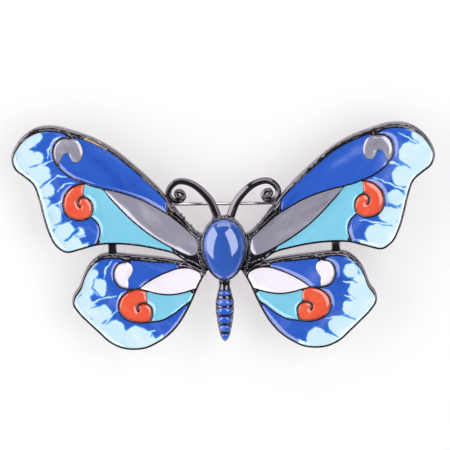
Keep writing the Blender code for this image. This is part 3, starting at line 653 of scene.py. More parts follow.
def pigment_and_sheen_group():
    """Soft swirls of cloudy pale and of deeper pigment in poured enamel, and its gentle ripple; the pale
    swirls are pigment in most enamels and painted sheen in the deep blue.
    """
    tree, given, out = new_group(
        "enamel pigment and painted sheen",
        [("Vector", "NodeSocketVector", None), ("Colour", "NodeSocketColor", (0.5, 0.5, 0.5, 1)),
         ("Milky", "NodeSocketColor", (1, 1, 1, 1)), ("Deep", "NodeSocketColor", (0, 0, 0, 1)),
         ("Swirl", "NodeSocketFloat", 0.4), ("Size", "NodeSocketFloat", 4.0)],
        [("Colour", "NodeSocketColor"), ("Height", "NodeSocketFloat"), ("Roughness", "NodeSocketFloat")],
    )
    place = add(tree, "ShaderNodeVectorMath", {"operation": "SCALE"}, Vector=given["Vector"])
    connect(tree, maths(tree, "DIVIDE", 1000.0, given["Size"]), place.inputs["Scale"])
    parts = add(tree, "ShaderNodeSeparateXYZ", Vector=place.outputs[0]).outputs
    outward = maths(tree, "ABSOLUTE", parts["X"])
    along = weighted(tree, outward, parts["Z"], STREAK_ALONG)
    across = weighted(tree, outward, parts["Z"], STREAK_ACROSS)
    own_side = maths(tree, "MULTIPLY_ADD", maths(tree, "SIGN", parts["X"]), 7.0, parts["Y"])
    spot = add(tree, "ShaderNodeCombineXYZ", X=along, Y=own_side, Z=across).outputs[0]
    drift = add(tree, "ShaderNodeTexNoise", Vector=spot, Scale=0.8, Detail=1.0)
    bent = add(tree, "ShaderNodeVectorMath", {"operation": "MULTIPLY_ADD"})
    connect(tree, drift.outputs["Color"], bent.inputs[0])
    bent.inputs[1].default_value = (0.9, 0.9, 0.9)
    connect(tree, spot, bent.inputs[2])
    streaks = add(tree, "ShaderNodeTexNoise", Vector=bent.outputs[0], Scale=1.1, Detail=3.0, Roughness=0.5)
    # The pale swirls: pigment, and in the deep blue a painted sheen.
    milk_and_sheen_share = maths(tree, "MULTIPLY", stepped(tree, streaks.outputs["Fac"], 0.5, 0.78), given["Swirl"])
    deep = maths(tree, "MULTIPLY", stepped(tree, streaks.outputs["Fac"], 0.45, 0.2), given["Swirl"])
    first = blended(tree, milk_and_sheen_share, given["Colour"], given["Milky"])
    tree.links.new(blended(tree, deep, first, given["Deep"]), out["Colour"])
    ripple = add(tree, "ShaderNodeTexNoise", Vector=given["Vector"], Scale=420.0, Detail=2.0)
    tree.links.new(ripple.outputs["Fac"], out["Height"])
    tree.links.new(maths(tree, "MULTIPLY_ADD", ripple.outputs["Fac"], 0.16, 0.14), out["Roughness"])
    return tree


# Heights of bumps, in metres.
PLATE_GRAIN = 0.000012
STEEL_GRAIN = 0.000003
RIPPLE_HEIGHT = 0.00003

GRAIN = cast_grain_group()
WEAR = edge_wear_group()
PIGMENT_AND_SHEEN = pigment_and_sheen_group()


def new_material(name):
    material = bpy.data.materials.new(name)
    material.use_nodes = True
    tree = material.node_tree
    return material, tree, tree.nodes["Principled BSDF"]


def object_vector(tree):
    return add(tree, "ShaderNodeTexCoord").outputs["Object"]


def place_group(tree, group, **inputs):
    made = tree.nodes.new("ShaderNodeGroup")
    made.node_tree = group
    for name, value in inputs.items():
        connect(tree, value, made.inputs[name.replace("_", " ")])
    return made.outputs


def bump(tree, shader, height, distance):
    made = add(tree, "ShaderNodeBump", Height=height, Distance=distance, Strength=1.0)
    tree.links.new(made.outputs[0], shader.inputs["Normal"])


def clear_coat(shader, roughness=0.03, ior=1.95):
    """The glossy skin over enamel and stone."""
    shader.inputs["Specular IOR Level"].default_value = 0.2
    shader.inputs["Coat Weight"].default_value = 1.0
    shader.inputs["Coat Roughness"].default_value = roughness
    shader.inputs["Coat IOR"].default_value = ior


def plated_metal(name, tone, under, roughness, grain_height, wear):
    """Plated casting metal with grain, and the metal under it showing at worn edges."""
    material, tree, shader = new_material(name)
    spot = object_vector(tree)
    cast = place_group(tree, GRAIN, Vector=spot, Size=1.0, Roughness=roughness)
    edge = add(tree, "ShaderNodeAttribute", {"attribute_name": "edge"}).outputs["Fac"]
    worn = place_group(tree, WEAR, Vector=spot, Edge=edge, Amount=wear)["Mask"]
    tree.links.new(blended(tree, worn, tone, under), shader.inputs["Base Color"])
    rough = maths(tree, "MULTIPLY_ADD", worn, 0.2, cast["Roughness"])
    tree.links.new(rough, shader.inputs["Roughness"])
    shader.inputs["Metallic"].default_value = 1.0
    bump(tree, shader, cast["Height"], grain_height)
    return material


def enamel(name, base, milk_and_sheen, deep, swirl, size, metallic=0.0, **coat):
    """A glossy poured enamel, with swirls of this strength and of this size in millimetres; in the deep blue
    its pale swirls are painted sheen.
    """
    material, tree, shader = new_material(name)
    mixed = place_group(
        tree, PIGMENT_AND_SHEEN, Vector=object_vector(tree), Colour=base, Milky=milk_and_sheen, Deep=deep,
        Swirl=swirl, Size=size,
    )
    tree.links.new(mixed["Colour"], shader.inputs["Base Color"])
    tree.links.new(mixed["Roughness"], shader.inputs["Roughness"])
    shader.inputs["Metallic"].default_value = metallic
    clear_coat(shader, **coat)
    bump(tree, shader, mixed["Height"], RIPPLE_HEIGHT)
    return material


PLATE_TONE = (0.2, 0.185, 0.21, 1)
DEEP_BLUE = colour(40, 91, 196)
NIGHT_BLUE = colour(24, 66, 166)
# A painted sheen: the lighter swirls of the blue enamels are drawn in this colour to stand for the lamps'
# soft haze on them.
PAINTED_SHEEN_BLUE = colour(104, 130, 220)


def marbled_enamel():
    """Pale enamel dragged into deep blue: the 'pale' attribute is the distance into the blue."""
    material, tree, shader = new_material("marbled enamel")
    spot = object_vector(tree)
    # The blue between the pale lobes, its lighter swirls a painted sheen.
    blue = place_group(
        tree, PIGMENT_AND_SHEEN, Vector=spot, Colour=DEEP_BLUE, Milky=PAINTED_SHEEN_BLUE, Deep=NIGHT_BLUE, Swirl=0.9, Size=3.0
    )
    pale = place_group(
        tree, PIGMENT_AND_SHEEN, Vector=spot, Colour=colour(206, 234, 247), Milky=colour(230, 245, 250),
        Deep=colour(170, 222, 246), Swirl=0.8, Size=2.2,
    )
    depth = add(tree, "ShaderNodeAttribute", {"attribute_name": "pale"}).outputs["Fac"]
    feather = add(tree, "ShaderNodeTexNoise", Vector=spot, Scale=1500.0, Detail=3.0, Roughness=0.6)
    depth = maths(tree, "ADD", depth, maths(tree, "MULTIPLY_ADD", feather.outputs["Fac"], 0.36, -0.18))
    fringe = blended(tree, stepped(tree, depth, -0.02, 0.22), colour(60, 150, 235), blue["Colour"])
    mixed = blended(tree, stepped(tree, depth, -0.2, 0.04), pale["Colour"], fringe)
    tree.links.new(mixed, shader.inputs["Base Color"])
    tree.links.new(blue["Roughness"], shader.inputs["Roughness"])
    clear_coat(shader)
    bump(tree, shader, blue["Height"], RIPPLE_HEIGHT)
    return material


MATERIALS = {
    "black_plate": plated_metal(
        "black plate", PLATE_TONE, colour(176, 160, 140), 0.12, PLATE_GRAIN, wear=0.3
    ),
    "worn_black_plate": plated_metal(
        "worn black plate", PLATE_TONE, colour(214, 186, 140), 0.13, PLATE_GRAIN, wear=0.5
    ),
    "steel": plated_metal(
        "steel", colour(206, 201, 201), colour(150, 146, 140), 0.16, STEEL_GRAIN, wear=0.0
    ),
    # The lighter swirls of the deep blue are painted sheen.
    "deep_blue_enamel": enamel("deep blue enamel", DEEP_BLUE, PAINTED_SHEEN_BLUE, NIGHT_BLUE, 1.0, 4.0),
    "turquoise_enamel": enamel(
        "turquoise enamel", colour(126, 203, 230), colour(152, 216, 236), colour(104, 192, 224), 0.6, 5.0
    ),
    "white_enamel": enamel(
        "white enamel", colour(244, 236, 247), colour(252, 248, 253), colour(228, 218, 236), 0.5, 4.0
    ),
    "grey_enamel": enamel(
        "pearl grey enamel", colour(172, 168, 187), colour(212, 208, 224), colour(134, 130, 148), 0.9, 3.0,
        metallic=0.35, roughness=0.06,
    ),
    "orange_enamel": enamel(
        "orange enamel", colour(236, 88, 58), colour(250, 130, 96), colour(214, 62, 34), 0.6, 1.6
    ),
    "marbled_enamel": marbled_enamel(),
    "blue_stone": enamel(
        "blue stone", colour(40, 88, 180), colour(78, 116, 206), colour(28, 68, 158), 0.6, 4.0,
        roughness=0.08, ior=2.3,
    ),
}


# ---------------------------------------------------------------- castings

def cast_height(flat, front, outer, cells, seed):
    """The height of a casting's front: rounded towards its rim and its cells, and a little uneven."""
    from_rim = clearance(flat, [outer])
    from_cells = clearance(flat, cells)
    rim_fall = rounded(from_rim, RIM_ROUND_ACROSS, RIM_ROUND_DOWN)
    wall_fall = rounded(from_cells, WALL_ROUND, WALL_ROUND)
    groove = np.exp(-((from_rim - RIM_GROOVE_IN) / RIM_GROOVE_WIDTH) ** 2) * (from_cells > RIM_GROOVE_CLEAR)
    open_web = np.clip((from_cells - WEB_START) / WEB_EASE, 0, 1)
    lumps = WEB_LUMPS * open_web * (1 + wave(flat, WEB_LUMP_SIZE, seed + 0.2))
    broad, fine = wave(flat, CAST_WAVE_BROAD, seed), wave(flat, CAST_WAVE_FINE, seed + 0.5)
    ripple = CAST_WAVE * (1 + 0.6 * broad + 0.4 * fine)
    return front + (rim_fall + wall_fall) + RIM_GROOVE * groove + lumps + ripple


def back_height(flat, outer, seed):
    """The height of a casting's back: a rounded edge, a raised border, and a shallow uneven hollow."""
    from_rim = clearance(flat, [outer])
    hollow = BACK_HOLLOW * np.clip((from_rim - BACK_BORDER) / BACK_SLOPE, 0, 1)
    uneven = 1 + BACK_UNEVEN * wave(flat, BACK_WAVE, seed)
    return -rounded(from_rim, BACK_ROUND, BACK_ROUND) - hollow * uneven


def build_casting(name, node, material, seed, rubbed=None):
    """A cast tray: rounded rim and cell walls, open cells, and a slightly hollow back."""
    outer, *cells = [refined(loop) for loop in front_loops(node)]
    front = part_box(node)[0].y / MM
    loops = [outer, *cells]
    seeds = np.concatenate([rings(loops, CAST_RINGS), honeycomb(loops, CAST_GRID, CAST_MARGIN)])
    body = Body()
    borders = body.add_patch(loops, seeds, lambda flat: cast_height(flat, front, outer, cells, seed))
    for cell, border in zip(cells, borders[1:]):
        floor = body.add_patch([cell[::-1]], NO_POINTS, lambda flat: np.full(len(flat), CELL_FLOOR))
        body.add_wall(border, floor[0][::-1])
    back_seeds = np.concatenate([rings([outer], BACK_RINGS), honeycomb([outer], BACK_GRID, BACK_MARGIN)])
    back = body.add_patch([outer], back_seeds, lambda flat: back_height(flat, outer, seed), facing=-1)
    body.add_wall(borders[0], back[0])
    points = np.array(body.points)
    flat = points[:, [0, 2]]
    on_front = points[:, 1] < front + RIM_ROUND_DOWN
    edge = WEAR_SHARE * on_front * np.exp(-np.abs(clearance(flat, loops) - WEAR_IN) / WEAR_WIDTH)
    if rubbed:
        gap = np.maximum(segment_gap(flat, *rubbed), 0)
        edge = np.maximum(edge, on_front * np.exp(-(gap / RUB_SPREAD) ** 2))
    return mesh_piece(name, points, body.faces, material, attributes={"edge": edge}), outer, cells


# ---------------------------------------------------------------- enamels

def enamel_height(flat, cells, seed, loop, cell):
    """The poured surface: heaped up in some cells, and drawn up at the walls of the others."""
    depth = clearance(flat, cells) * inside_any(flat, cells)
    if cell in DOMES:
        rise = DOMES[cell] * (1 - np.exp(-clearance(flat, [loop]) / DOME_WIDTH))
        swell = DOME_SWELL * ENAMEL_SWELL * wave(flat, DOME_WAVE, seed)
    else:
        rise = MENISCUS_HEIGHT * np.exp(-depth / SOFT_MENISCUS.get(cell, MENISCUS_WIDTH))
        swell = ENAMEL_SWELL * wave(flat, ENAMEL_WAVE, seed)
    return ENAMEL_FRONT + ENAMEL_SAG - rise + swell * np.clip(depth / SWELL_EASE, 0, 1)


def inside_any(flat, cells):
    """Whether each point lies within any of the cells."""
    return np.any([inside(flat, [cell]) for cell in cells], axis=0)


def segment_gap(points, x1, z1, x2, z2, width):
    """The distance to a stroke of this width that grows finer towards its second end."""
    start, along = np.array([x1, z1]), np.array([x2 - x1, z2 - z1])
    share = np.clip(((points - start) @ along) / (along @ along), 0, 1)
    middle_gap = np.linalg.norm(points - start - share[:, None] * along, axis=1)
    return middle_gap - width / 2 * (1 - STROKE_TAPER * share)


def marbling(flat, wing, side, rim):
    """How far each point is outside the pale enamel of a wing's margin; negative is inside it."""
    own = flat * [side, 1]
    shift = np.stack([wave(own, MARBLE_WARP_SIZE, number) for number in (1, 2)], axis=1)
    own = own + MARBLE_WARP * shift
    pattern = MARBLING[wing]
    gaps = [np.linalg.norm(own - (x, z), axis=1) - radius for x, z, radius in pattern["lobes"]]
    pale = -LOBE_BLEND * np.log(sum(np.exp(-np.clip(gap, -4, 8) / LOBE_BLEND) for gap in gaps))
    strip = np.maximum(clearance(flat, [rim]) - RIM_STRIP, pale - RIM_STRIP_REACH)
    pale = np.minimum(pale, strip)
    for slit in pattern["slits"]:
        pale = np.maximum(pale, -segment_gap(own, *slit))
    for thread in pattern["threads"]:
        pale = np.minimum(pale, THREAD_STRENGTH * (segment_gap(own, *thread) - THREAD_SPREAD))
    return pale


def build_enamel(name, node, slot, rim, cells, seed, cell, wing, side):
    """One colour of enamel, filling its cell from wall to wall; marbled where a wing is named."""
    outline = refined(front_loops(node)[0])
    wall = clearance(outline, cells)
    spread = np.where(wall < 2 * POUR_GAP, wall + POUR_OVERLAP, JOIN_HALF)
    loop = outline - left_of(outline) * spread[:, None]
    own_cells = [cell for cell in cells if inside(outline, [cell]).mean() > 0.5]
    if wing:
        seeds = honeycomb([loop], MARBLE_GRID, MARBLE_MARGIN)
    else:
        even = honeycomb([loop], ENAMEL_GRID, ENAMEL_MARGIN)
        seeds = np.concatenate([even, rings([loop], ENAMEL_RINGS)])
    body = Body()
    top = body.add_patch([loop], seeds, lambda flat: enamel_height(flat, own_cells, seed, loop, cell))
    under = body.add_patch([loop], NO_POINTS, lambda flat: np.full(len(flat), ENAMEL_FOOT), facing=-1)
    body.add_wall(top[0], under[0])
    points = np.array(body.points)
    attributes = {"pale": marbling(points[:, [0, 2]], wing, side, rim)} if wing else None
    return mesh_piece(name, points, body.faces, MATERIALS[slot], attributes=attributes)


def build_wings():
    seed = 1
    for half, cell_names in CELLS.items():
        for word, side in SIDES.items():
            wing = f"{half}_{word}"
            plate = MATERIALS["worn_black_plate" if wing == "upper_left" else "black_plate"]
            casting, rim, cells = build_casting(
                f"cast_{wing}_wing", f"{wing}_wing_frame", plate, seed, RUBBED.get(wing)
            )
            finish_piece(casting, "black_plate", f"{wing}_wing_frame")
            for cell, slot in cell_names.items():
                seed += 1
                node = f"{wing}_wing_{cell}"
                pattern = wing if cell == "marbled_margin" else None
                piece = build_enamel(
                    f"poured_{wing}_{cell}", node, slot, rim, cells, seed, cell, pattern, side
                )
                finish_piece(piece, slot, node)


# ---------------------------------------------------------------- thorax and abdomen

def turned_rows(rows):
    """Quads between rows of points that each run once around, closed with a fan at both ends."""
    count = len(rows[0])
    points = [point for row in rows for point in row]
    faces = []
    for r in range(len(rows) - 1):
        for i in range(count):
            here, after = r * count + i, r * count + (i + 1) % count
            faces.append((here, after, after + count, here + count))
    for row, order in ((0, -1), (len(rows) - 1, 1)):
        points.append(tuple(np.mean(rows[row], axis=0)))
        for i in range(count):
            ring = (row * count + i, row * count + (i + 1) % count)[::order]
            faces.append((*ring, len(points) - 1))
    return points, faces


def build_stone():
    """An egg-shaped dome, polished, with a straight girdle that sits in the setting."""
    low, high = (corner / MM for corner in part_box("thorax_stone"))
    heights = np.linspace(-1, 1, STONE_SAMPLES)
    widest = ((1 + STONE_TAPER * heights) * np.sqrt(1 - heights ** 2)).max()
    half_width = (high.x - low.x) / 2 / widest + STONE_OVERLAP
    half_height = (high.z - low.z) / 2 + STONE_OVERLAP
    girdle = CAST_FRONT
    rise = girdle - low.y
    around = np.linspace(0, 2 * math.pi, STONE_SIDES, endpoint=False)

    def ring(share, y):
        up = np.sin(around) * share
        across = np.cos(around) * share * half_width * (1 + STONE_TAPER * up)
        return [(x, y, z) for x, z in zip(across, up * half_height)]

    rows = [ring(1, high.y)]
    for angle in np.linspace(0, math.pi / 2, STONE_RINGS, endpoint=False):
        rows.append(ring(math.cos(angle), girdle - rise * math.sin(angle)))
    rows.append(ring(STONE_TIP, low.y))
    points, faces = turned_rows(rows)
    stone = mesh_piece("egg_stone", points, faces, MATERIALS["blue_stone"], sharp=60)
    finish_piece(stone, "blue_stone", "thorax_stone")


def smooth_profile(depths):
    """The abdomen's outer radius at depths below its top, without its grooves."""
    profile = np.array(ABDOMEN_PROFILE)
    fine = np.linspace(0, 1, 60)
    broad = np.interp(fine, profile[:, 0], profile[:, 1])
    padded = np.concatenate([[broad[0]] * 2, broad, [-broad[-2], -broad[-3]]])
    eased = np.convolve(padded, [0.1, 0.2, 0.4, 0.2, 0.1], "valid")
    return ABDOMEN_RADIUS * np.interp(depths, fine * ABDOMEN_LENGTH, np.maximum(eased, 0))


def band_half(half, aside):
    """Half of a lens-shaped band's height, at an angle away from the front."""
    return half * (BAND_BLUNT + (1 - BAND_BLUNT) * math.sqrt(max(1 - (aside / BAND_SPREAD) ** 2, 0)))


def abdomen_radius(depth, angle):
    """The core's radius: its profile, less a lens-shaped hollow at each band, and a little uneven."""
    middle, half = min(BANDS, key=lambda band: abs(band[0] - depth))
    aside = abs((angle + math.pi) % (2 * math.pi) - math.pi)
    front = min(max((BAND_SPREAD + GROOVE_END / 2 - aside) / GROOVE_END, 0), 1)
    share = (band_half(half, aside) + GROOVE_LIP - abs(depth - middle)) / GROOVE_EASE
    groove = BAND_DEPTH * front * min(max(share, 0), 1) ** 0.7
    uneven = ABDOMEN_UNEVEN * noise.noise((depth * 1.4, angle, 3))
    return max(float(smooth_profile(depth)) - groove + uneven, LEAST_RADIUS)


def band_row(depth, step, arc, fade):
    """A band's cross-section as (radius, angle), out along its crest and back along its foot."""
    outer, inner = [], []
    for angle, share in zip(arc, fade):
        profile = float(smooth_profile(depth(angle)))
        floor = profile - BAND_DEPTH - BAND_SUNK
        crown = profile + BAND_BULGE * share
        curve = math.sqrt(max(1 - (0.9 * step) ** 2, 0)) * (0.3 + 0.7 * share)
        outer.append((max(floor + (crown - floor) * curve, BAND_LEAST_RADIUS), angle))
        inner.append((max(floor - BAND_THICKNESS, BAND_LEAST_RADIUS), angle))
    return outer + inner[::-1]


def build_abdomen():
    """The turned core with its rounded rings, and a poured band in each lens-shaped hollow."""
    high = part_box("abdomen")[1] / MM
    axis_y = CAST_FRONT / 2

    def placed(radius, angle, depth):
        return radius * math.sin(angle), axis_y - radius * math.cos(angle), high.z - depth

    around = np.linspace(0, 2 * math.pi, ABDOMEN_SIDES, endpoint=False)
    rows = []
    for depth in np.linspace(0, ABDOMEN_LENGTH, ABDOMEN_ROWS):
        row = [placed(abdomen_radius(depth, angle), angle, depth) for angle in around]
        rows.append([(x, min(y, high.y), z) for x, y, z in row])
    points, faces = turned_rows(rows)
    core = mesh_piece("abdomen_core", points, [face[::-1] for face in faces], MATERIALS["black_plate"])
    finish_piece(core, "black_plate", "abdomen")

    arc = np.linspace(-BAND_SPREAD, BAND_SPREAD, BAND_COLUMNS)
    fade = np.sqrt(np.maximum(1 - (arc / BAND_SPREAD) ** 4, 0))
    for number, (middle, half) in enumerate(BANDS, 1):
        rows = []
        for step in np.linspace(-1, 1, BAND_ROWS):
            def depth(angle, step=step, middle=middle, half=half):
                return middle + step * band_half(half, abs(angle))

            section = band_row(depth, step, arc, fade)
            rows.append([placed(radius, angle, depth(angle)) for radius, angle in section])
        points, faces = turned_rows(rows)
        outward = [face[::-1] for face in faces]
        band = mesh_piece(
            f"poured_band_{number}", points, outward, MATERIALS["deep_blue_enamel"], sharp=70
        )
        finish_piece(band, "deep_blue_enamel", f"abdomen_band_{number}")


# ---------------------------------------------------------------- Geometry Nodes

def new_tree(name, inputs):
    """A Geometry Nodes tree with named inputs; gives the tree and its input and output sockets."""
    tree = bpy.data.node_groups.new(name, "GeometryNodeTree")
    tree.interface.new_socket("Geometry", in_out="INPUT", socket_type="NodeSocketGeometry")
    for title, kind in inputs:
        tree.interface.new_socket(title, in_out="INPUT", socket_type=kind)
    tree.interface.new_socket("Geometry", in_out="OUTPUT", socket_type="NodeSocketGeometry")
    return tree, tree.nodes.new("NodeGroupInput").outputs, tree.nodes.new("NodeGroupOutput").inputs


def finish_tree(tree, geometry, given, out):
    """Ends a tree: shaded smooth, made real, and given its material."""
    smooth = add(tree, "GeometryNodeSetShadeSmooth", Geometry=geometry)
    real = add(tree, "GeometryNodeRealizeInstances", Geometry=smooth.outputs[0])
    done = add(tree, "GeometryNodeSetMaterial", Geometry=real.outputs[0], Material=given["Finish"])
    tree.links.new(done.outputs[0], out["Geometry"])


def grown(name, start, tree, values, material):
    """The plain mesh that a Geometry Nodes tree makes from a starting object."""
    modifier = start.modifiers.new("shape", "NODES")
    modifier.node_group = tree
    sockets = {item.name: item.identifier for item in tree.interface.items_tree if item.in_out == "INPUT"}
    for title, value in values.items():
        modifier[sockets[title]] = value
    modifier[sockets["Finish"]] = material
    bpy.context.view_layer.update()
    evaluated = start.evaluated_get(bpy.context.evaluated_depsgraph_get())
    data = bpy.data.meshes.new_from_object(evaluated)
    bpy.data.objects.remove(start)
    data.name = name
    data.set_sharp_from_angle(angle=math.radians(70))
    obj = bpy.data.objects.new(name, data)
    bpy.context.scene.collection.objects.link(obj)
    return obj


def path_curve(name, points, closed=False):
    """A curve object along points in millimetres."""
    data = bpy.data.curves.new(name, "CURVE")
    data.dimensions = "3D"
    spline = data.splines.new("POLY")
    spline.points.add(len(points) - 1)
    for target, point in zip(spline.points, points):
        target.co = (*(np.array(point) * MM), 1)
    spline.use_cyclic_u = closed
    obj = bpy.data.objects.new(name, data)
    bpy.context.scene.collection.objects.link(obj)
    return obj


def ridged_wire_tree():
    """A tapering wire with ridges along it, and a cluster of knobs round its end."""
    tree, given, out = new_tree("ridged wire", [
        ("Wire Radius", "NodeSocketFloat"), ("Ridge Height", "NodeSocketFloat"),
        ("Knob Radius", "NodeSocketFloat"), ("Knob Start", "NodeSocketFloat"),
        ("Finish", "NodeSocketMaterial"),
    ])
    along = add(tree, "GeometryNodeSplineParameter").outputs["Factor"]
    taper = add(
        tree, "ShaderNodeMapRange", Value=along, From_Min=0.0, From_Max=1.0,
        To_Min=ANTENNA_ROOT_SCALE, To_Max=ANTENNA_TIP_SCALE,
    )

    circle = add(tree, "GeometryNodeCurvePrimitiveCircle", Resolution=40, Radius=given["Wire Radius"])
    turn = add(tree, "GeometryNodeSplineParameter").outputs["Factor"]
    ridges = maths(tree, "COSINE", maths(tree, "MULTIPLY", turn, 2 * math.pi * ANTENNA_RIDGES))
    swell = maths(tree, "MULTIPLY_ADD", ridges, given["Ridge Height"], 1.0)
    spot = add(tree, "GeometryNodeInputPosition").outputs[0]
    scaled = add(tree, "ShaderNodeVectorMath", {"operation": "SCALE"}, Vector=spot, Scale=swell)
    section = add(
        tree, "GeometryNodeSetPosition", Geometry=circle.outputs["Curve"], Position=scaled.outputs[0]
    )
    wire = add(
        tree, "GeometryNodeCurveToMesh", Curve=given["Geometry"], Profile_Curve=section.outputs[0],
        Scale=taper.outputs["Result"], Fill_Caps=True,
    )

    tip = add(tree, "GeometryNodeTrimCurve", Curve=given["Geometry"])
    connect(tree, given["Knob Start"], tip.inputs[2])
    spots = add(tree, "GeometryNodeCurveToPoints", {"mode": "COUNT"}, Curve=tip.outputs[0], Count=KNOB_COUNT)
    scatter = add(tree, "FunctionNodeRandomValue", {"data_type": "FLOAT_VECTOR"}, Seed=4)
    for limit, socket in zip(KNOB_SCATTER, scatter.inputs):
        socket.default_value = [value * MM for value in limit]
    moved = add(tree, "GeometryNodeSetPosition", Geometry=spots.outputs["Points"], Offset=scatter.outputs[0])
    knob = add(tree, "GeometryNodeMeshIcoSphere", Radius=given["Knob Radius"], Subdivisions=3)
    size = add(tree, "FunctionNodeRandomValue", {"data_type": "FLOAT"}, Seed=9)
    size.inputs[2].default_value, size.inputs[3].default_value = KNOB_SIZES
    knobs = add(
        tree, "GeometryNodeInstanceOnPoints", Points=moved.outputs[0], Instance=knob.outputs["Mesh"],
        Scale=size.outputs[1],
    )
    both = tree.nodes.new("GeometryNodeJoinGeometry")
    tree.links.new(wire.outputs[0], both.inputs[0])
    tree.links.new(knobs.outputs[0], both.inputs[0])
    finish_tree(tree, both.outputs[0], given, out)
    return tree


def grain_row_tree():
    """Lumps of uneven size in a row along a curve, like the rough collar of a cast setting."""
    tree, given, out = new_tree("grain row", [
        ("Grain Radius", "NodeSocketFloat"), ("Spacing", "NodeSocketFloat"),
        ("Scatter", "NodeSocketFloat"), ("Seed", "NodeSocketInt"), ("Finish", "NodeSocketMaterial"),
    ])
    spots = add(
        tree, "GeometryNodeCurveToPoints", {"mode": "LENGTH"},
        Curve=given["Geometry"], Length=given["Spacing"],
    )
    scatter = add(tree, "FunctionNodeRandomValue", {"data_type": "FLOAT_VECTOR"}, Seed=given["Seed"])
    scatter.inputs[0].default_value = (-1, -1, -1)
    scatter.inputs[1].default_value = (1, 1, 1)
    offset = add(
        tree, "ShaderNodeVectorMath", {"operation": "SCALE"},
        Vector=scatter.outputs[0], Scale=given["Scatter"],
    )
    moved = add(tree, "GeometryNodeSetPosition", Geometry=spots.outputs["Points"], Offset=offset.outputs[0])
    grain = add(tree, "GeometryNodeMeshIcoSphere", Radius=given["Grain Radius"], Subdivisions=2)
    size = add(tree, "FunctionNodeRandomValue", {"data_type": "FLOAT_VECTOR"}, Seed=given["Seed"])
    size.inputs[0].default_value = (0.6, 0.6, 0.6)
    size.inputs[1].default_value = (1.5, 1.1, 1.5)
    grains = add(
        tree, "GeometryNodeInstanceOnPoints", Points=moved.outputs[0], Instance=grain.outputs["Mesh"],
        Scale=size.outputs[0],
    )
    finish_tree(tree, grains.outputs[0], given, out)
    return tree


def curved(path, count):
    """Evenly spaced points on a smooth line through a path of flat points."""
    path = np.array(path, float)
    ends = np.vstack([2 * path[0] - path[1], path, 2 * path[-1] - path[-2]])
    points = []
    for i in range(1, len(ends) - 2):
        before, start, end, after = ends[i - 1:i + 3]
        for t in np.arange(16) / 16:
            points.append(0.5 * (
                2 * start + (end - before) * t + (2 * before - 5 * start + 4 * end - after) * t ** 2
                + (3 * start - before - 3 * end + after) * t ** 3
            ))
    points = np.array(points + [path[-1]])
    travel = np.concatenate([[0], np.cumsum(np.linalg.norm(np.diff(points, axis=0), axis=1))])
    even = np.linspace(0, travel[-1], count)
    return np.stack([np.interp(even, travel, points[:, k]) for k in range(2)], axis=1)


def grain_values(radius, spacing, scatter, seed):
    """The inputs of a row of grains, from sizes in millimetres."""
    return {
        "Grain Radius": radius * MM, "Spacing": spacing * MM, "Scatter": scatter * MM, "Seed": seed,
    }


def build_antennae():
    """Two ridged wires that curl at their tips, with a cluster of knobs in each curl."""
    tree = ridged_wire_tree()
    middle = CAST_FRONT / 2
    for word, side in SIDES.items():
        path = curved(ANTENNA_PATH, 150)
        start = path_curve(f"antenna_line_{word}", [(side * x, middle, z) for x, z in path])
        values = {
            "Wire Radius": ANTENNA_RADIUS * MM, "Ridge Height": RIDGE_HEIGHT,
            "Knob Radius": KNOB_RADIUS * MM, "Knob Start": KNOB_START,
        }
        antenna = grown(f"ridged_antenna_{word}", start, tree, values, MATERIALS["black_plate"])
        finish_piece(antenna, "black_plate", f"antenna_{word}")


def build_thorax():
    """The setting with a rough collar of cast grains round the stone."""
    setting, _, cells = build_casting("stone_setting", "thorax_setting", MATERIALS["black_plate"], 40)
    finish_piece(setting, "black_plate", "thorax_setting")
    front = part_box("thorax_setting")[0].y / MM
    collar = cells[0] + left_of(cells[0]) * COLLAR_IN
    start = path_curve("collar_line", [(x, front + COLLAR_DEPTH, z) for x, z in collar], closed=True)
    values = grain_values(0.15, 0.36, 0.1, seed=3)
    grains = grown("setting_grains", start, grain_row_tree(), values, MATERIALS["black_plate"])
    finish_piece(grains, "black_plate")


def build_root_lumps():
    """The uneven metal left by the mould where wings and antennae leave the setting."""
    tree = grain_row_tree()
    for name, path, place_y, radius, spacing in ROOT_LUMPS:
        for word, side in SIDES.items():
            line = curved(path, 60)
            start = path_curve(f"{name}_line_{word}", [(side * x, place_y, z) for x, z in line])
            values = grain_values(radius, spacing, radius * 0.5, seed=5 + side)
            lumps = grown(f"{name}_{word}", start, tree, values, MATERIALS["black_plate"])
            finish_piece(lumps, "black_plate")


# ---------------------------------------------------------------- bridges and pin

def eased_copy(name, node, material, width):
    """A copy of a CAD piece with its flat faces merged and its edges eased."""
    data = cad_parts[node].data.copy()
    data.name = name
    shape = bmesh.new()
    shape.from_mesh(data)
    bmesh.ops.remove_doubles(shape, verts=shape.verts, dist=WELD_METRES)
    bmesh.ops.dissolve_limit(
        shape, angle_limit=math.radians(FLAT_WITHIN), verts=shape.verts, edges=shape.edges,
        use_dissolve_boundaries=False,
    )
    shape.to_mesh(data)
    shape.free()
    data.materials.clear()
    data.materials.append(material)
    obj = bpy.data.objects.new(name, data)
    bpy.context.scene.collection.objects.link(obj)
    ease = obj.modifiers.new("eased edges", "BEVEL")
    ease.width = width * MM
    ease.segments = 2
    ease.limit_method = "ANGLE"
    ease.angle_limit = math.radians(EASED_FROM)
    evaluated = obj.evaluated_get(bpy.context.evaluated_depsgraph_get())
    final = bpy.data.meshes.new_from_object(evaluated)
    obj.modifiers.clear()
    obj.data = final
    final.shade_smooth()
    final.set_sharp_from_angle(angle=math.radians(EASED_FROM))
    return obj


def build_bridges():
    for word in SIDES:
        bridge = eased_copy(f"cast_bridge_{word}", f"bridge_{word}", MATERIALS["black_plate"], 0.16)
        finish_piece(bridge, "black_plate", f"bridge_{word}")


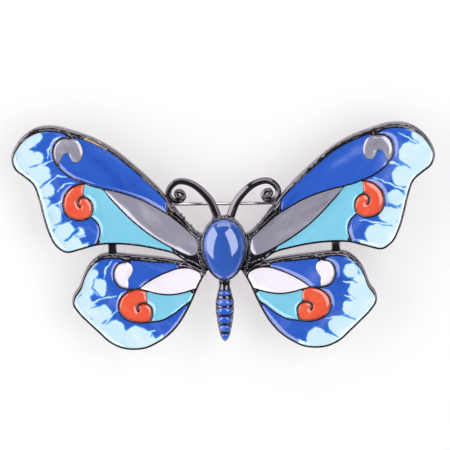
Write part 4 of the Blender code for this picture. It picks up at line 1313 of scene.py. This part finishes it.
def build_solder():
    """The bead of solder round the foot of the hinge and of the catch."""
    tree = grain_row_tree()
    for seed, (name, node) in enumerate(SOLDERED.items(), 20):
        low, high = (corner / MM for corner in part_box(node))
        corners = [(low.x, low.z), (high.x, low.z), (high.x, high.z), (low.x, high.z), (low.x, low.z)]
        sides = [np.linspace(a, b, 12, endpoint=False) for a, b in zip(corners, corners[1:])]
        path = [(x, SOLDER_DEPTH, z) for x, z in np.concatenate(sides)]
        start = path_curve(f"{name}_line", path, closed=True)
        bead = grown(name, start, tree, grain_values(0.3, 0.3, 0.08, seed), MATERIALS["steel"])
        finish_piece(bead, "steel")


def slim_wire(data):
    """Makes the stem a little thinner than its frame, about its own axis."""
    low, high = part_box("pin_stem")
    axis = Vector((0, (low.y + high.y) / 2, (low.z + high.z) / 2))
    for vertex in data.vertices:
        if vertex.co.x > low.x + STEM_FROM * MM:
            vertex.co.yz = (vertex.co.yz - axis.yz) * STEM_SLIM + axis.yz


def build_pin():
    """The steel pin, its hinge and its catch, behind the wings."""
    steel = MATERIALS["steel"]
    for name, node, body, width in (
        ("hinge_bracket", "pin_hinge_base", "brooch", 0.08),
        ("hinge_rivet", "pin_hinge_rivet", "brooch", 0.08),
        ("steel_pin", "pin_stem", "pin", 0.05),
        ("catch_barrel", "catch_housing", "brooch", 0.08),
        ("catch_turning_lock", "catch_lock", "lock", 0.05),
    ):
        piece = eased_copy(name, node, steel, width)
        if name == "steel_pin":
            slim_wire(piece.data)
        finish_piece(piece, "steel", node, body=body)


# ---------------------------------------------------------------- stage

# In metres: the room behind the brooch, the drop to the floor, and the sheets' reach.
BACKDROP_GAP = 0.0012
FLOOR_DROP = 0.09
STAGE_REACH = 1.5


def paper_material(name, tone, glow):
    """Matt paper that is lit evenly from within as well, and is seen from its front only."""
    paper, tree, shader = new_material(name)
    mottle = add(tree, "ShaderNodeTexNoise", Vector=object_vector(tree), Scale=12.0, Detail=3.0)
    dim, light = ((tone * share * 0.98, tone * share, tone * share * 0.98, 1) for share in (0.98, 1.03))
    tree.links.new(blended(tree, mottle.outputs["Fac"], dim, light), shader.inputs["Base Color"])
    shader.inputs["Emission Color"].default_value = glow
    shader.inputs["Emission Strength"].default_value = 1.0
    shader.inputs["Roughness"].default_value = 0.8
    shader.inputs["Specular IOR Level"].default_value = 0.1
    back = add(tree, "ShaderNodeNewGeometry").outputs["Backfacing"]
    clear = add(tree, "ShaderNodeBsdfTransparent")
    choice = add(tree, "ShaderNodeMixShader", Fac=back)
    tree.links.new(shader.outputs[0], choice.inputs[1])
    tree.links.new(clear.outputs[0], choice.inputs[2])
    tree.links.new(choice.outputs[0], tree.nodes["Material Output"].inputs["Surface"])
    return paper


def build_stage():
    """The backdrop close behind the brooch, the floor, the soft lights and the pale surroundings."""
    low, high = cad_box
    middle = (low + high) / 2
    behind = high.y + BACKDROP_GAP
    floor_z = low.z - FLOOR_DROP

    paper = paper_material("pale paper", 0.47, (0.495, 0.47, 0.488, 1))
    board = paper_material("pale board", 0.08, (0.87, 0.865, 0.87, 1))
    wide = (-STAGE_REACH, STAGE_REACH, STAGE_REACH, -STAGE_REACH)
    standing = (floor_z, floor_z, STAGE_REACH, STAGE_REACH)
    lying = (-STAGE_REACH, -STAGE_REACH, STAGE_REACH, STAGE_REACH)
    for name, material, corners in (
        ("backdrop", paper, [(x, behind, z) for x, z in zip(wide, standing)]),
        ("floor", board, [(x, y, floor_z) for x, y in zip(wide, lying)]),
    ):
        data = bpy.data.meshes.new(name)
        data.from_pydata(corners, [], [(0, 1, 2, 3)])
        data.materials.append(material)
        sheet = bpy.data.objects.new(name, data)
        bpy.context.scene.collection.objects.link(sheet)
        sheet.visible_shadow = False
        sheet.visible_glossy = name == "backdrop"

    def softbox(name, place, size, glow, lean=0):
        data = bpy.data.lights.new(name, "AREA")
        data.shape = "RECTANGLE"
        data.size, data.size_y = size
        data.energy = glow * math.pi * size[0] * size[1]
        light = bpy.data.objects.new(name, data)
        light.location = Vector(place)
        aim = (middle - light.location).to_track_quat("-Z", "Y").to_matrix()
        light.rotation_euler = (aim @ Matrix.Rotation(math.radians(lean), 3, "Z")).to_euler()
        bpy.context.scene.collection.objects.link(light)

    softbox("left_softbox", (-0.49, -0.21, 0.1), (0.6, 0.66), 2.4, lean=-22)
    softbox("right_softbox", (0.31, -0.44, 0.12), (0.36, 0.62), 2.45, lean=26)
    softbox("top_softbox", (0.0, -0.17, 0.5), (0.6, 0.3), 1.5)
    softbox("back_softbox", (0.1, 0.6, 0.3), (0.5, 0.5), 1.2)

    world = bpy.data.worlds.new("studio")
    bpy.context.scene.world = world
    world.use_nodes = True
    tree = world.node_tree
    lit = tree.nodes["Background"]
    lit.inputs["Color"].default_value = (0.96, 0.96, 1.0, 1)
    lit.inputs["Strength"].default_value = 0.1
    mirrored = add(tree, "ShaderNodeBackground", Color=(0.96, 0.96, 1.0, 1), Strength=0.07)
    seen = add(tree, "ShaderNodeBackground", Color=(0.95, 0.95, 0.955, 1), Strength=1.0)
    ray = add(tree, "ShaderNodeLightPath").outputs
    unseen = add(tree, "ShaderNodeMixShader", Fac=ray["Is Glossy Ray"])
    tree.links.new(lit.outputs[0], unseen.inputs[1])
    tree.links.new(mirrored.outputs[0], unseen.inputs[2])
    choice = add(tree, "ShaderNodeMixShader", Fac=ray["Is Camera Ray"])
    tree.links.new(unseen.outputs[0], choice.inputs[1])
    tree.links.new(seen.outputs[0], choice.inputs[2])
    tree.links.new(choice.outputs[0], tree.nodes["World Output"].inputs["Surface"])

    bpy.context.scene.view_settings.view_transform = "Standard"


def build_camera():
    """A long lens from a little above the front, turned to follow the brooch's slight tilt."""
    data = bpy.data.cameras.new("camera")
    data.sensor_width = 36
    distance = 0.6
    view_width = 0.0789
    data.lens = data.sensor_width * distance / view_width
    camera = bpy.data.objects.new("camera", data)
    elevation, roll = math.radians(10), math.radians(-0.67)
    target = Vector((0.0002, -0.0012, 0.0041))
    away = Vector((0, -math.cos(elevation), math.sin(elevation)))
    camera.location = target + away * distance
    turn = (-away).to_track_quat("-Z", "Y").to_matrix().to_4x4()
    camera.rotation_euler = (turn @ Matrix.Rotation(roll, 4, "Z")).to_euler()
    bpy.context.scene.collection.objects.link(camera)
    bpy.context.scene.camera = camera


build_camera()
build_stage()
build_wings()
build_thorax()
build_root_lumps()
build_stone()
build_abdomen()
build_antennae()
build_bridges()
build_pin()
build_solder()
